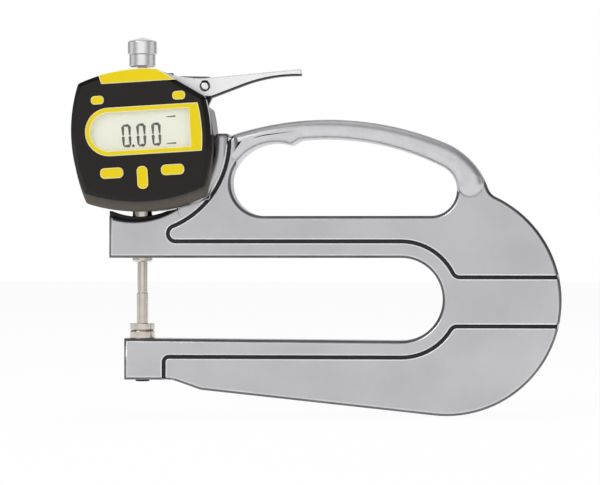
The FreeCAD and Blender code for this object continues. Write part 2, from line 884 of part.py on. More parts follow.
KEYS = {
    "button_top_left": (-s.small_key_x, s.small_key_z, s.small_key_wide, s.small_key_high, s.small_key_round),
    "button_top_right": (s.small_key_x, s.small_key_z, s.small_key_wide, s.small_key_high, s.small_key_round),
    "button_bottom_left": (-s.long_key_x, s.long_key_z, s.long_key_wide, s.long_key_high, s.long_key_round),
    "button_bottom_right": (s.long_key_x, s.long_key_z, s.long_key_wide, s.long_key_high, s.long_key_round),
    "button_bottom_middle": (ZERO, s.middle_key_z, s.middle_key_wide, s.middle_key_high, s.middle_key_round),
}


def make_front_cover():
    body = new_body("front_cover")
    slab(body, "shell", [cover_outline(ZERO)], face, cover_back, HEAD)
    corners = [on_head(*corner[:2]) for corner in cover_outline(ZERO)]
    soften(body, "corners", s.cover_round, corner_at(*corners))
    soften(body, "bevel", s.cover_bevel, rim_at(face), "Chamfer")
    cut(body, "hollow", [cover_outline(s.cover_wall)], face + s.cover_plate, cover_back, HEAD)
    cut(body, "display_hole", [display_outline(-s.fit_gap)], face - s.cover_plate, cover_back, HEAD)
    holes = [key_outline(*key, grow=s.key_gap) for key in KEYS.values()]
    cut(body, "key_holes", holes, face - s.cover_plate, cover_back, HEAD)
    rooms = [key_outline(*key, grow=s.key_flange + s.key_gap) for key in KEYS.values()]
    cut(body, "key_rooms", rooms, face + s.cover_plate, cover_back, HEAD)
    cut(body, "trim_seat", [trim_outline(ZERO)], face - s.trim_sink, face + s.trim_sink, HEAD)
    trim = new_body("top_trim")
    slab(trim, "insert", [trim_outline(s.fit_gap)], face - s.trim_proud, face + s.trim_sink - s.seat_gap, HEAD)


def make_display():
    frame_front = face - s.display_proud
    frame_back = frame_front + s.display_thick
    body = new_body("display_frame")
    window = display_outline(s.window_border, s.window_right)
    slab(body, "ring", [display_outline(ZERO), window], frame_front, frame_back, HEAD)
    body = new_body("display_window")
    window_front = frame_front + s.window_sink
    pane = display_outline(s.window_border + s.fit_gap, s.window_right - s.fit_gap)
    slab(body, "pane", [pane], window_front, window_front + s.window_thick, HEAD)
    body = new_body("lcd_panel")
    lcd_front = frame_back + s.fit_gap
    slab(body, "glass", [display_outline(s.lcd_border)], lcd_front, lcd_front + s.lcd_thick, HEAD)


board_back = cover_back - s.board_back
board_front = board_back - s.board_thick


def make_keys():
    key_front = face - s.key_proud
    for name, key in KEYS.items():
        body = new_body(name)
        slab(body, "cap", [key_outline(*key)], key_front, key_front + s.key_length, HEAD)
        flange_front = key_front + s.key_flange_at
        slab(body, "flange", [key_outline(*key, grow=s.key_flange)],
             flange_front, flange_front + s.key_flange_thick, HEAD)
    body = new_body("circuit_board")
    slab(body, "plate", [cover_outline(s.cover_wall + s.fit_gap * 4)], board_front, board_back, HEAD)
    domes = [rod_y(f"dome_{name}", on_head(key[0], key[1]), s.dome_r, board_front - s.dome_thick, board_front)
             for name, key in KEYS.items()]
    gather("key_domes", domes)


def rod_y(name, centre, radius, front_y, back_y):
    """A round bar along Y."""
    bar = doc.addObject("Part::Cylinder", name)
    bar.Placement = FreeCAD.Placement(Vector(), FreeCAD.Rotation(Vector(1, 0, 0), -90))
    bind(bar, "Radius", radius)
    bind(bar, "Height", back_y - front_y)
    bind(bar, "Placement.Base.x", centre[0])
    bind(bar, "Placement.Base.y", front_y)
    bind(bar, "Placement.Base.z", centre[1])
    return bar


def rod_z(name, centre, radius, low, high):
    """A round bar along Z, at (x, y)."""
    bar = doc.addObject("Part::Cylinder", name)
    bind(bar, "Radius", radius)
    bind(bar, "Height", high - low)
    bind(bar, "Placement.Base.x", centre[0])
    bind(bar, "Placement.Base.y", centre[1])
    bind(bar, "Placement.Base.z", low)
    return bar


def fuse(name, pieces):
    joined = doc.addObject("Part::MultiFuse", name)
    joined.Shapes = pieces
    return joined


def gather(label, pieces):
    """Several equal solids in one node."""
    group = doc.addObject("Part::Compound", label)
    group.Label = label
    group.Links = pieces
    nodes.append(group)
    return group


POSTS = [
    (-s.post_x, -s.post_low),
    (s.post_x, -s.post_low),
    (-s.post_x, s.post_high),
    (s.post_cut_x, s.post_cut_z),
]


def make_case():
    body = new_body("case")
    slab(body, "shell", [case_outline(ZERO, ZERO)], cover_back, case_back, HEAD)
    corners = [on_head(*corner[:2]) for corner in case_outline(ZERO, ZERO)]
    soften(body, "corners", s.case_round, corner_at(*corners))
    soften(body, "rim", s.case_rim, rim_at(cover_back), "Chamfer")
    cut(body, "hollow", [case_outline(s.case_wall, s.case_floor)], cover_back, case_back, HEAD)
    slab(body, "posts", [(x, z, s.post_r) for x, z in POSTS], case_back - s.post_length, case_back, HEAD)
    cut(body, "post_holes", [(x, z, s.cover_screw_r) for x, z in POSTS],
        case_back - s.cover_screw_length, case_back, HEAD)
    bore(body, "stem_seat", [(ZERO, ZERO, s.stem_r + s.seat_gap)], foot, s.stem_top + s.seat_gap)
    bore(body, "spindle_bore", [(ZERO, ZERO, s.spindle_r + s.running_gap)], s.stem_top, s.cap_base)
    bore(body, "rail_seats", [(s.rail_x, ZERO, s.rail_r + s.seat_gap)], s.rail_low, s.rail_high)
    for name, x in (("left", -s.bracket_screw_left), ("right", s.bracket_screw_right)):
        place = on_head(x, s.case_top + s.bracket_high)
        hole = [(place[0], bracket_middle, s.bracket_screw_r + s.seat_gap)]
        bore(body, f"{name}_bracket_hole", hole, place[1] - s.bracket_screw_length - s.fit_gap, place[1])


def make_back_cover():
    body = new_body("back_cover")
    cover_front = case_back + s.seat_gap
    slab(body, "plate", [case_outline(ZERO, ZERO)], cover_front, cover_front + s.back_thick, HEAD)
    corners = [on_head(*corner[:2]) for corner in case_outline(ZERO, ZERO)]
    soften(body, "corners", s.case_round, corner_at(*corners))
    cut(body, "screw_holes", [(x, z, s.cover_screw_r + s.fit_gap) for x, z in POSTS],
        cover_front, cover_front + s.back_thick, HEAD)
    cut(body, "screw_seats", [(x, z, s.cover_screw_head_r + s.fit_gap) for x, z in POSTS],
        cover_front + s.back_thick - s.cover_screw_head, cover_front + s.back_thick, HEAD)
    cut(body, "battery_hole", [(s.battery_x, s.battery_z, s.battery_cover_r + s.fit_gap)],
        cover_front, cover_front + s.back_thick, HEAD)
    screws = []
    for i, spot in enumerate(POSTS, start=1):
        head_front = cover_front + s.back_thick - s.cover_screw_head
        shank = rod_y(f"cover_shank_{i}", on_head(*spot), s.cover_screw_r - s.seat_gap,
                      case_back - s.cover_screw_length + s.seat_gap, head_front + s.seat_gap)
        head = rod_y(f"cover_head_{i}", on_head(*spot), s.cover_screw_head_r,
                     head_front + s.seat_gap, cover_front + s.back_thick)
        screws.append(fuse(f"cover_screw_{i}", [shank, head]))
    gather("back_cover_screws", screws)
    body = new_body("battery_cover")
    lid_back = cover_front + s.back_thick + s.battery_cover_proud
    slab(body, "lid", [(s.battery_x, s.battery_z, s.battery_cover_r)], cover_front + s.fit_gap, lid_back, HEAD)
    half, wide = s.coin_slot / 2, s.coin_slot_wide / 2
    slot = [
        (s.battery_x - half, s.battery_z - wide),
        (s.battery_x + half, s.battery_z - wide),
        (s.battery_x + half, s.battery_z + wide),
        (s.battery_x - half, s.battery_z + wide),
    ]
    cut(body, "coin_slot", [slot], lid_back - s.coin_slot_deep, lid_back, HEAD)
    body = new_body("battery")
    slab(body, "cell", [(s.battery_x, s.battery_z, s.battery_r)],
         case_back - s.battery_thick, case_back - s.fit_gap, HEAD)


def box_outline(left, right, low, high):
    return [(left, low), (right, low), (right, high), (left, high)]


def make_measuring_parts():
    body = new_body("scale_carrier")
    top = s.carrier_low + s.carrier_high
    block = box_outline(-s.carrier_half, s.carrier_half, s.carrier_low, top)
    slab(body, "block", [block], -s.carrier_front, s.carrier_back)
    arm = box_outline(ZERO, s.rail_x + s.carrier_arm, s.carrier_low, top)
    slab(body, "arm", [arm], -s.carrier_arm, s.carrier_arm)
    bore(body, "spindle_hole", [(ZERO, ZERO, s.spindle_r + s.seat_gap)], s.carrier_low, top)
    bore(body, "rail_hole", [(s.rail_x, ZERO, s.rail_r + s.running_gap)], s.carrier_low, top)
    body = new_body("scale_strip")
    strip_back = -s.carrier_front - s.seat_gap
    strip = box_outline(-s.strip_half, s.strip_half, s.strip_low, s.strip_low + s.strip_high)
    slab(body, "strip", [strip], strip_back - s.strip_thick, strip_back)
    body = new_body("reader_head")
    reader = box_outline(-s.reader_half, s.reader_half, s.reader_low, s.reader_low + s.reader_high)
    slab(body, "block", [reader], board_back + s.seat_gap, strip_back - s.strip_thick - s.reader_gap)
    body = new_body("guide_rail")
    post(body, "rod", [(s.rail_x, ZERO, s.rail_r)], s.rail_low + s.seat_gap, s.rail_high - s.seat_gap)
    body = new_body("return_spring")
    low = top + s.fit_gap + s.wire_r
    high = s.spring_top - s.wire_r
    section = new_sketch(body, "wire", "XZ_Plane", ZERO, UPRIGHT)
    ring(section, s.spring_r, low, s.wire_r)
    doc.recompute()
    coil = body.newObject("PartDesign::AdditiveHelix", "return_spring_coil")
    coil.Profile = section
    coil.ReferenceAxis = (section, ["V_Axis"])
    coil.Mode = "height-turns-angle"
    coil.Angle = 0
    bind(coil, "Height", high - low)
    bind(coil, "Turns", s.spring_turns)


# Lifting lever, seen from the front about its pivot

bracket_front = s.lever_half + s.bracket_gap
bracket_middle = bracket_front + s.bracket_thick / 2


# Shares of the boss, the arm and the fork that set the lever's outline
BOSS_SIDE = 1.1
BOSS_RISE = 0.55
BOSS_LEFT = 0.3
BOSS_RIGHT = 0.6
BOSS_NECK = 0.7
ARM_BEND = 0.38
ARM_DROP = 1.5
FORK_RISE_RIGHT = 0.4
FORK_RISE_LEFT = 0.3
SLOT_REACH = -4


def make_lever():
    body = new_body("lever")
    fork_top = s.knob_base - s.fork_rise
    tip_low = s.lever_tip_z - s.lever_tip_high / 2
    tip_high = s.lever_tip_z + s.lever_tip_high / 2
    boss_low = s.pivot_z - s.lever_boss_r
    bend = s.pivot_x + (s.lever_tip - s.pivot_x) * ARM_BEND
    outline = [
        (-s.fork_end, s.fork_low),
        (s.case_cut_x + s.lever_boss_r * BOSS_LEFT, s.fork_low - s.lever_heel_drop),
        (s.pivot_x - s.lever_boss_r * BOSS_SIDE, s.pivot_z - s.lever_boss_r * BOSS_RISE),
        (s.pivot_x - s.lever_boss_r * BOSS_LEFT, boss_low),
        (s.pivot_x + s.lever_boss_r * BOSS_RIGHT, boss_low),
        (bend, tip_low - s.lever_tip_high * ARM_DROP, s.lever_under_r, -1),
        (s.lever_tip, tip_low),
        (s.lever_tip, tip_high),
        (s.pivot_x + s.lever_boss_r * BOSS_NECK, fork_top - s.lever_neck_drop, s.lever_over_r, -1),
        (s.fork_right, fork_top - s.lever_shoulder_drop),
        (s.fork_right * FORK_RISE_RIGHT, fork_top),
        (-s.fork_end * FORK_RISE_LEFT, fork_top),
        (-s.fork_end, fork_top - s.fork_tip_drop),
    ]
    slab(body, "arm", [outline], -s.lever_half, s.lever_half)
    fork = box_outline(-s.fork_end, s.fork_right, s.fork_low, fork_top - s.fork_tip_drop)
    slab(body, "fork", [fork], -s.fork_half, s.fork_half)
    slot = [(s.fork_slot * SLOT_REACH, -s.fork_slot), (s.fork_slot, -s.fork_slot),
            (s.fork_slot, s.fork_slot), (s.fork_slot * SLOT_REACH, s.fork_slot)]
    bore(body, "fork_slot", [slot], boss_low, s.cap_base)
    cut(body, "pin_hole", [(s.pivot_x, s.pivot_z, s.lever_pin_r + s.running_gap)], -s.fork_half, s.fork_half)
    body = new_body("lever_pin")
    pin_front = -s.lever_half - s.lever_pin_shows
    slab(body, "shank", [(s.pivot_x, s.pivot_z, s.lever_pin_r)], pin_front, bracket_front + s.bracket_thick)
    soften(body, "dome", s.lever_pin_dome, rim_at(pin_front))


def make_bracket():
    """The ear behind the lever: it lies on the case's flat top and reaches over the cut corner to the pivot."""
    body = new_body("lever_bracket")
    across, up = s.pivot_x - s.head_x, s.pivot_z - s.head_z
    ear_x = across * cosine(s.head_tilt) + up * sine(s.head_tilt)
    ear_z = up * cosine(s.head_tilt) - across * sine(s.head_tilt)
    seat = s.case_top + s.bracket_seat
    corner = case_outline(ZERO, ZERO)[2]
    fall = (s.case_top - corner[1]) / (corner[0] - s.case_cut_x)
    top = s.case_top + s.bracket_high
    outline = [
        (-s.bracket_left, seat),
        (s.case_cut_x, seat),
        (ear_x, seat - fall * (ear_x - s.case_cut_x)),
        (ear_x + s.bracket_ear, ear_z, s.bracket_ear, 1),
        (ear_x, ear_z + s.bracket_ear),
        (s.case_cut_x, top),
        (-s.bracket_left, top),
    ]
    bracket_back = bracket_front + s.bracket_thick
    slab(body, "plate", [outline], bracket_front, bracket_back, HEAD)
    cut(body, "pin_hole", [(s.pivot_x, s.pivot_z, s.lever_pin_r + s.seat_gap)], bracket_front, bracket_back)
    screws = []
    for name, x in (("left", -s.bracket_screw_left), ("right", s.bracket_screw_right)):
        spot_x, spot_z = on_head(x, top)
        hole = [(spot_x, bracket_middle, s.bracket_screw_r + s.seat_gap)]
        bore(body, f"{name}_screw_hole", hole, spot_z - s.bracket_high * 2, spot_z + s.bracket_high)
        head_low = spot_z + s.fit_gap * 2
        spot = (spot_x, bracket_middle)
        shank = rod_z(f"bracket_shank_{name}", spot, s.bracket_screw_r, spot_z - s.bracket_screw_length, head_low)
        head = rod_z(f"bracket_head_{name}", spot, s.bracket_screw_head_r, head_low, head_low + s.bracket_screw_head)
        screws.append(fuse(f"bracket_screw_{name}", [shank, head]))
    gather("bracket_screws", screws)


make_frame()
make_anvil()
make_stem()
make_spindle()
make_front_cover()
make_display()
make_keys()
make_case()
make_back_cover()
make_measuring_parts()
make_lever()
make_bracket()

# Check the pieces and write them

doc.recompute()
for item in doc.Objects:
    if {"Invalid", "Error"} & set(item.State):
        raise RuntimeError(f"{item.Label} failed: {item.State}")
for node in nodes:
    if node.Shape.isNull() or not node.Shape.isValid():
        raise RuntimeError(f"{node.Label} has no valid shape")
os.makedirs("parts", exist_ok=True)
for node in nodes:
    node.Shape.exportStep(f"parts/{node.Label}.step")
    print(node.Label, round(node.Shape.Volume, 1), len(node.Shape.Solids))
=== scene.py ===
"""A digital thickness gauge with a deep cast frame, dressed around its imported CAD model."""

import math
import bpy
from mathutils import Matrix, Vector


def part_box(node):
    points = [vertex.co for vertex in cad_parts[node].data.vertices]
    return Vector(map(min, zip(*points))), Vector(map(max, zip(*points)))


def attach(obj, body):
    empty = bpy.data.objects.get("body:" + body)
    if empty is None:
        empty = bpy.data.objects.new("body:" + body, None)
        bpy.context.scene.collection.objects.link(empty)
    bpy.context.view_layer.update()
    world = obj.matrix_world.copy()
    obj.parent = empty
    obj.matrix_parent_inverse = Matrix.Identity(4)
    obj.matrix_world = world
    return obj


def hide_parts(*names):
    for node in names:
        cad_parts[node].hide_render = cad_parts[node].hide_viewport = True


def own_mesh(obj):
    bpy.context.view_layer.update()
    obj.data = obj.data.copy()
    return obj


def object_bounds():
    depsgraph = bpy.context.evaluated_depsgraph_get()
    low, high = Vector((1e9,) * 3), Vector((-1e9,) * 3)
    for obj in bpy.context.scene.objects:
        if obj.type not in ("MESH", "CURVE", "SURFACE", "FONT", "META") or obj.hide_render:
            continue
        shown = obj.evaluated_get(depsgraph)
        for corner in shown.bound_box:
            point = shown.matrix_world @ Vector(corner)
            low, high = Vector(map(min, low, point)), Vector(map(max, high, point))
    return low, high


bl_info = {
    "name": "Digital thickness gauge",
    "version": (1, 0, 0),
    "blender": (4, 5, 0),
    "location": "3D View > Sidebar > Gauge",
    "description": "Builds a digital thickness gauge with its cast frame, display head and lifting lever",
    "category": "Add Mesh",
}

import bmesh
import bpy
from mathutils import Matrix, Vector

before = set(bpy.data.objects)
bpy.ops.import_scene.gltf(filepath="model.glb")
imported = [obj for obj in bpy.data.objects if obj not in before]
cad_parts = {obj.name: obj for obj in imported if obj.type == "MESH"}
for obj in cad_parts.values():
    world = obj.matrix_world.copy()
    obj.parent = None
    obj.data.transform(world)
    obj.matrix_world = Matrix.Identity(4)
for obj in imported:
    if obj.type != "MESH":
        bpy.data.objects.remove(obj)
CAD_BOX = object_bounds()

MM = 0.001

# The head: its centre in x and z, its lean in degrees and the depth of the display's surface
HEAD_CENTRE = (1.3 * MM, 77.4 * MM)
HEAD_TILT = 3.3
LCD_FACE = -14.2 * MM

# The display's figures, in millimetres: digits, point and the two plain bars, from the head's centre
DIGIT_HIGH = 9.3
DIGIT_WIDE = 3.85
DIGIT_MIDDLES = (-5.68, 0.21, 6.21)
POINT_MIDDLE = -3.19
SIGN_MIDDLES = ((12.35, 6.6), (12.06, -3.95))
DIGIT_RAISED = 0.06

# Thickness of the plate that closes the cover's back, and where the lever's rounded part begins
BACK_PLATE = 0.4
LEVER_THIN_FROM = 19 * MM
LEVER_ROUND = 0.7

# The spring's middle radius, the radius and sides of its wire, its turns and steps in a turn
SPRING_REACH = 3.1
SPRING_WIRE = 0.3
SPRING_TURNS = 9
SPRING_STEPS = 28
SPRING_SIDES = 8

# The frame: where the painted shade under the head fades out, and the grooves' depths from the middle
SHADE_CENTRE = (-2.5 * MM, 0, 75.5 * MM)
SHADE_REACH = (32.5 * MM, 33.1 * MM)
SHADE_END = 16 * MM
GROOVE_FLOOR = 6.6 * MM
GROOVE_LOW = 5.95 * MM

# The front part of a face's normal: of a chamfer, of what counts as one, of flat faces and of upright ones
CHAMFER_SLOPE = 0.71
CHAMFER_RANGE = (0.69, 0.72)
FLAT_FACE = 0.995
NEARLY_FLAT = 0.99
HEAD_FLAT = 0.98
PIN_DOME = 0.75
UPRIGHT_FACE = 0.2

# The camera and how much of the floor's white is its own light
CAMERA_AIM = (63.101 * MM, 0, 35.003 * MM)
CAMERA_AWAY = 1200 * MM
CAMERA_YAW = 5
CAMERA_LENS = 181.2
CAMERA_SENSOR = 36
FLOOR_GLOW = 0.93


# Colours and nodes


def linear(code):
    """A colour written as sRGB hex, as the linear values that Blender works in."""
    parts = [int(code[i:i + 2], 16) / 255 for i in (1, 3, 5)]
    return [p / 12.92 if p <= 0.04045 else ((p + 0.055) / 1.055) ** 2.4 for p in parts] + [1.0]


def per_mm(size):
    """The scale of a pattern on Object coordinates whose features are this many millimetres apart."""
    return 1 / (size * MM)


def add(tree, kind, sockets=(), **settings):
    """Add a node. Each socket, by name or number, takes a value or another node's output."""
    item = tree.nodes.new("ShaderNode" + kind)
    for key, value in settings.items():
        setattr(item, key, value)
    for key, value in dict(sockets).items():
        if isinstance(value, bpy.types.NodeSocket):
            tree.links.new(value, item.inputs[key])
        else:
            item.inputs[key].default_value = value
    return item


def start_finish(name):
    """A new material, empty, with the place on the object that its patterns follow."""
    finish = bpy.data.materials.new(name)
    finish.use_nodes = True
    finish.node_tree.nodes.clear()
    place = add(finish.node_tree, "TexCoord").outputs["Object"]
    return finish, finish.node_tree, place


def shade(tree, sockets):
    """The surface shader of a material, joined to its output."""
    surface = add(tree, "BsdfPrincipled", sockets)
    add(tree, "OutputMaterial", {"Surface": surface.outputs["BSDF"]})


def panel_colour(name, share=1.0):
    """A colour of the panel, or a darker share of it."""
    return [part * share for part in getattr(bpy.context.scene.gauge_looks, name)] + [1.0]


def between(tree, factor, dark, light):
    """Two colours, each a hex code or the panel's, mixed by a factor."""
    ends = [linear(end) if isinstance(end, str) else end for end in (dark, light)]
    sockets = {"Factor": factor, 6: ends[0], 7: ends[1]}
    return add(tree, "Mix", sockets, data_type="RGBA").outputs[2]


def spread(tree, value, low, high, start=0.0, end=1.0):
    """A value moved from the range start to end onto the range low to high."""
    sockets = {"Value": value, "From Min": start, "From Max": end, "To Min": low, "To Max": high}
    return add(tree, "MapRange", sockets).outputs["Result"]


# Finishes


def silver_enamel():
    # Silver hammer enamel sprayed on cast iron: fine flakes, soft clouds and a faint orange peel,
    # with painted shade, nearly black, where the head shades the frame.
    finish, tree, place = start_finish("silver enamel on cast iron")
    flakes = add(tree, "TexVoronoi", {"Vector": place, "Scale": per_mm(0.35)})
    clouds = add(tree, "TexNoise", {"Vector": place, "Scale": per_mm(28), "Detail": 3.0})
    peel = add(tree, "TexNoise", {"Vector": place, "Scale": per_mm(1.3), "Detail": 2.0})
    mixed = add(tree, "Math", {0: flakes.outputs["Color"], 1: 0.12}, operation="MULTIPLY")
    tone = add(tree, "Math", {0: clouds.outputs["Fac"], 1: mixed.outputs[0]}, operation="ADD")
    height = add(tree, "Bump", {"Height": peel.outputs["Fac"], "Strength": 0.2, "Distance": 0.02 * MM})
    share = spread(tree, tone.outputs[0], 0, 1, 0.3, 0.9)
    silver = between(tree, share, panel_colour("enamel", 0.82), panel_colour("enamel"))
    # Painted shade: the colour goes near black close to the head's centre, under the head
    flat = add(tree, "VectorMath", {0: place, 1: (1, 0, 1)}, operation="MULTIPLY")
    reach = add(tree, "VectorMath", {0: flat.outputs[0], 1: SHADE_CENTRE}, operation="DISTANCE")
    painted_shade = spread(tree, reach.outputs["Value"], 1, 0, *SHADE_REACH)
    with_painted_shade = add(tree, "Mix", {"Factor": painted_shade, 6: silver, 7: linear("#101014")}, data_type="RGBA")
    shade(tree, {
        "Base Color": with_painted_shade.outputs[2],
        "Metallic": 0.8,
        "Roughness": spread(tree, flakes.outputs["Distance"], 0.3, 0.38, 0.0, 0.6),
        "Normal": height.outputs["Normal"],
    })
    return finish


def rubbed_and_highlit_enamel():
    # Handle and inner rim edges: enamel paler and smoother, both rubbed by hands and painted highlight.
    finish, tree, place = start_finish("enamel rubbed bright on the rims")
    patchiness = add(tree, "TexNoise", {"Vector": place, "Scale": per_mm(4), "Detail": 4.0})
    fine = add(tree, "TexNoise", {"Vector": place, "Scale": per_mm(3), "Detail": 2.0})
    shade(tree, {
        "Base Color": between(tree, spread(tree, patchiness.outputs["Fac"], 0, 1, 0.2, 0.8), "#C9C9CC", "#DADADD"),
        "Metallic": 0.8,
        "Roughness": spread(tree, fine.outputs["Fac"], 0.26, 0.34),
    })
    return finish


def groove_lip_highlight():
    # The lips of the grooves, painted nearly white as highlight.
    finish, tree, place = start_finish("enamel polished white on the lips")
    patchiness = add(tree, "TexNoise", {"Vector": place, "Scale": per_mm(8), "Detail": 2.0})
    shade(tree, {
        "Base Color": between(tree, patchiness.outputs["Fac"], "#E6E6E8", "#F8F8F8"),
        "Metallic": 0.2,
        "Roughness": spread(tree, patchiness.outputs["Fac"], 0.2, 0.3),
    })
    return finish


def rim_corner_shade():
    # Outer corners of the rims, painted dark grey as shade.
    finish, tree, place = start_finish("cast iron bare on the rim corners")
    patchiness = add(tree, "TexNoise", {"Vector": place, "Scale": per_mm(9), "Detail": 3.0})
    shade(tree, {
        "Base Color": between(tree, patchiness.outputs["Fac"], "#4C4C50", "#8A8A8E"),
        "Metallic": 0.8,
        "Roughness": spread(tree, patchiness.outputs["Fac"], 0.3, 0.45),
    })
    return finish


def groove_shade_paint():
    # The same enamel painted near black and dull as shade in the grooves and under the head.
    finish, tree, place = start_finish("darkened enamel in the grooves")
    painted_shade = add(tree, "TexNoise", {"Vector": place, "Scale": per_mm(2.5), "Detail": 4.0})
    shade(tree, {
        "Base Color": between(tree, painted_shade.outputs["Fac"], "#0E0E12", "#2A2A2F"),
        "Metallic": 0.1,
        "Roughness": spread(tree, painted_shade.outputs["Fac"], 0.45, 0.75),
    })
    return finish


def turned_steel():
    # Hardened steel turned and ground round the spindle's axis: warm, bright, with fine rings.
    finish, tree, place = start_finish("ground stainless steel")
    flat = add(tree, "Mapping", {"Vector": place, "Scale": (0.02, 0.02, 1.0)})
    rings = add(tree, "TexNoise", {"Vector": flat.outputs[0], "Scale": per_mm(0.18), "Detail": 2.0})
    stain = add(tree, "TexNoise", {"Vector": place, "Scale": per_mm(4), "Detail": 3.0})
    height = add(tree, "Bump", {"Height": rings.outputs["Fac"], "Strength": 0.15, "Distance": 0.01 * MM})
    shade(tree, {
        "Base Color": between(tree, stain.outputs["Fac"], "#C2B8AE", "#E6DED5"),
        "Metallic": 1.0,
        "Roughness": spread(tree, rings.outputs["Fac"], 0.08, 0.18),
        "Normal": height.outputs["Normal"],
    })
    return finish


def bright_chrome():
    # Satin chrome plate on brass: nearly white, with a soft grain that follows the turning.
    finish, tree, place = start_finish("satin chrome plate")
    grain = add(tree, "TexNoise", {"Vector": place, "Scale": per_mm(0.5), "Detail": 4.0})
    height = add(tree, "Bump", {"Height": grain.outputs["Fac"], "Strength": 0.15, "Distance": 0.008 * MM})
    shade(tree, {
        "Base Color": between(tree, grain.outputs["Fac"], "#EEEEF0", "#FCFCFC"),
        "Metallic": 0.8,
        "Roughness": spread(tree, grain.outputs["Fac"], 0.16, 0.3),
        "Normal": height.outputs["Normal"],
    })
    return finish


def lever_alloy():
    # Polished die-cast alloy: white where it catches the light, with faint flow marks of the cast.
    finish, tree, place = start_finish("polished die-cast alloy")
    flow = add(tree, "TexNoise", {"Vector": place, "Scale": per_mm(5), "Detail": 3.0, "Distortion": 0.6})
    fine = add(tree, "TexNoise", {"Vector": place, "Scale": per_mm(0.6), "Detail": 3.0})
    height = add(tree, "Bump", {"Height": flow.outputs["Fac"], "Strength": 0.2, "Distance": 0.05 * MM})
    shade(tree, {
        "Base Color": between(tree, flow.outputs["Fac"], "#EEEEF0", "#FEFEFE"),
        "Metallic": 0.5,
        "Roughness": spread(tree, fine.outputs["Fac"], 0.18, 0.32),
        "Normal": height.outputs["Normal"],
    })
    return finish


def painted_edge_shade():
    # Painted shade on the lever's underside and round the pin's dome: dark grey with a dull mottle.
    finish, tree, place = start_finish("die-cast skin left unpolished")
    mottle = add(tree, "TexNoise", {"Vector": place, "Scale": per_mm(1.5), "Detail": 3.0})
    shade(tree, {
        "Base Color": between(tree, mottle.outputs["Fac"], "#2C2C2E", "#4E4E50"),
        "Metallic": 0.6,
        "Roughness": spread(tree, mottle.outputs["Fac"], 0.4, 0.6),
    })
    return finish


def brushed_aluminium():
    # Anodised aluminium, brushed upwards before the bath: warm grey with fine upright lines.
    finish, tree, place = start_finish("brushed anodised aluminium")
    drawn = add(tree, "Mapping", {"Vector": place, "Scale": (1.0, 1.0, 0.03)})
    lines = add(tree, "TexNoise", {"Vector": drawn.outputs[0], "Scale": per_mm(0.25), "Detail": 3.0})
    height = add(tree, "Bump", {"Height": lines.outputs["Fac"], "Strength": 0.25, "Distance": 0.012 * MM})
    shade(tree, {
        "Base Color": between(tree, lines.outputs["Fac"], "#4A4540", "#777069"),
        "Metallic": 1.0,
        "Roughness": spread(tree, lines.outputs["Fac"], 0.26, 0.42),
        "Normal": height.outputs["Normal"],
    })
    return finish


def charcoal_moulding():
    # Glass-filled nylon from a spark-eroded mould: charcoal with an even, fine grain.
    finish, tree, place = start_finish("charcoal moulded nylon")
    grain = add(tree, "TexNoise", {"Vector": place, "Scale": per_mm(0.3), "Detail": 2.0})
    clouds = add(tree, "TexNoise", {"Vector": place, "Scale": per_mm(14), "Detail": 2.0})
    height = add(tree, "Bump", {"Height": grain.outputs["Fac"], "Strength": 0.5, "Distance": 0.02 * MM})
    shade(tree, {
        "Base Color": between(
            tree, clouds.outputs["Fac"], panel_colour("cover", 0.55), panel_colour("cover")),
        "Specular IOR Level": 0.3,
        "Roughness": spread(tree, grain.outputs["Fac"], 0.42, 0.6),
        "Normal": height.outputs["Normal"],
    })
    return finish


def glossy_black_shade():
    # The same moulding, polished, on the rim: a clear gloss, and a black colour that is painted shade.
    finish, tree, place = start_finish("polished black rim")
    wipe = add(tree, "TexNoise", {"Vector": place, "Scale": per_mm(6), "Detail": 3.0})
    shade(tree, {
        "Base Color": between(tree, wipe.outputs["Fac"], "#070505", "#140F0E"),
        "Specular IOR Level": 0.25,
        "Roughness": spread(tree, wipe.outputs["Fac"], 0.1, 0.2),
    })
    return finish


def yellow_moulding():
    # ABS coloured in the mass: a strong lemon yellow with a soft satin and faint flow clouds.
    finish, tree, place = start_finish("yellow moulded ABS")
    flow = add(tree, "TexNoise", {"Vector": place, "Scale": per_mm(7), "Detail": 2.0})
    grain = add(tree, "TexNoise", {"Vector": place, "Scale": per_mm(0.3), "Detail": 1.0})
    height = add(tree, "Bump", {"Height": grain.outputs["Fac"], "Strength": 0.2, "Distance": 0.012 * MM})
    shade(tree, {
        "Base Color": between(
            tree, flow.outputs["Fac"], panel_colour("yellow", 0.88), panel_colour("yellow")),
        "Specular IOR Level": 0.3,
        "Roughness": spread(tree, grain.outputs["Fac"], 0.28, 0.4),
        "Normal": height.outputs["Normal"],
    })
    return finish


def yellow_edge_highlight():
    # The edge faces of the yellow parts, painted a creamy yellow as highlight.
    finish, tree, place = start_finish("pale edge of yellow ABS")
    flow = add(tree, "TexNoise", {"Vector": place, "Scale": per_mm(2), "Detail": 2.0})
    shade(tree, {
        "Base Color": between(tree, flow.outputs["Fac"], "#F6EEA6", "#FFFAD6"),
        "Roughness": spread(tree, flow.outputs["Fac"], 0.25, 0.4),
    })
    return finish


def clear_window():
    # Cast acrylic: clear, with a mirror face.
    finish, tree, place = start_finish("clear acrylic window")
    haze = add(tree, "TexNoise", {"Vector": place, "Scale": per_mm(10), "Detail": 2.0})
    shade(tree, {
        "Base Color": linear("#F7F8F0"),
        "Roughness": spread(tree, haze.outputs["Fac"], 0.02, 0.06),
        "Alpha": 0.06,
        "IOR": 1.49,
    })
    return finish


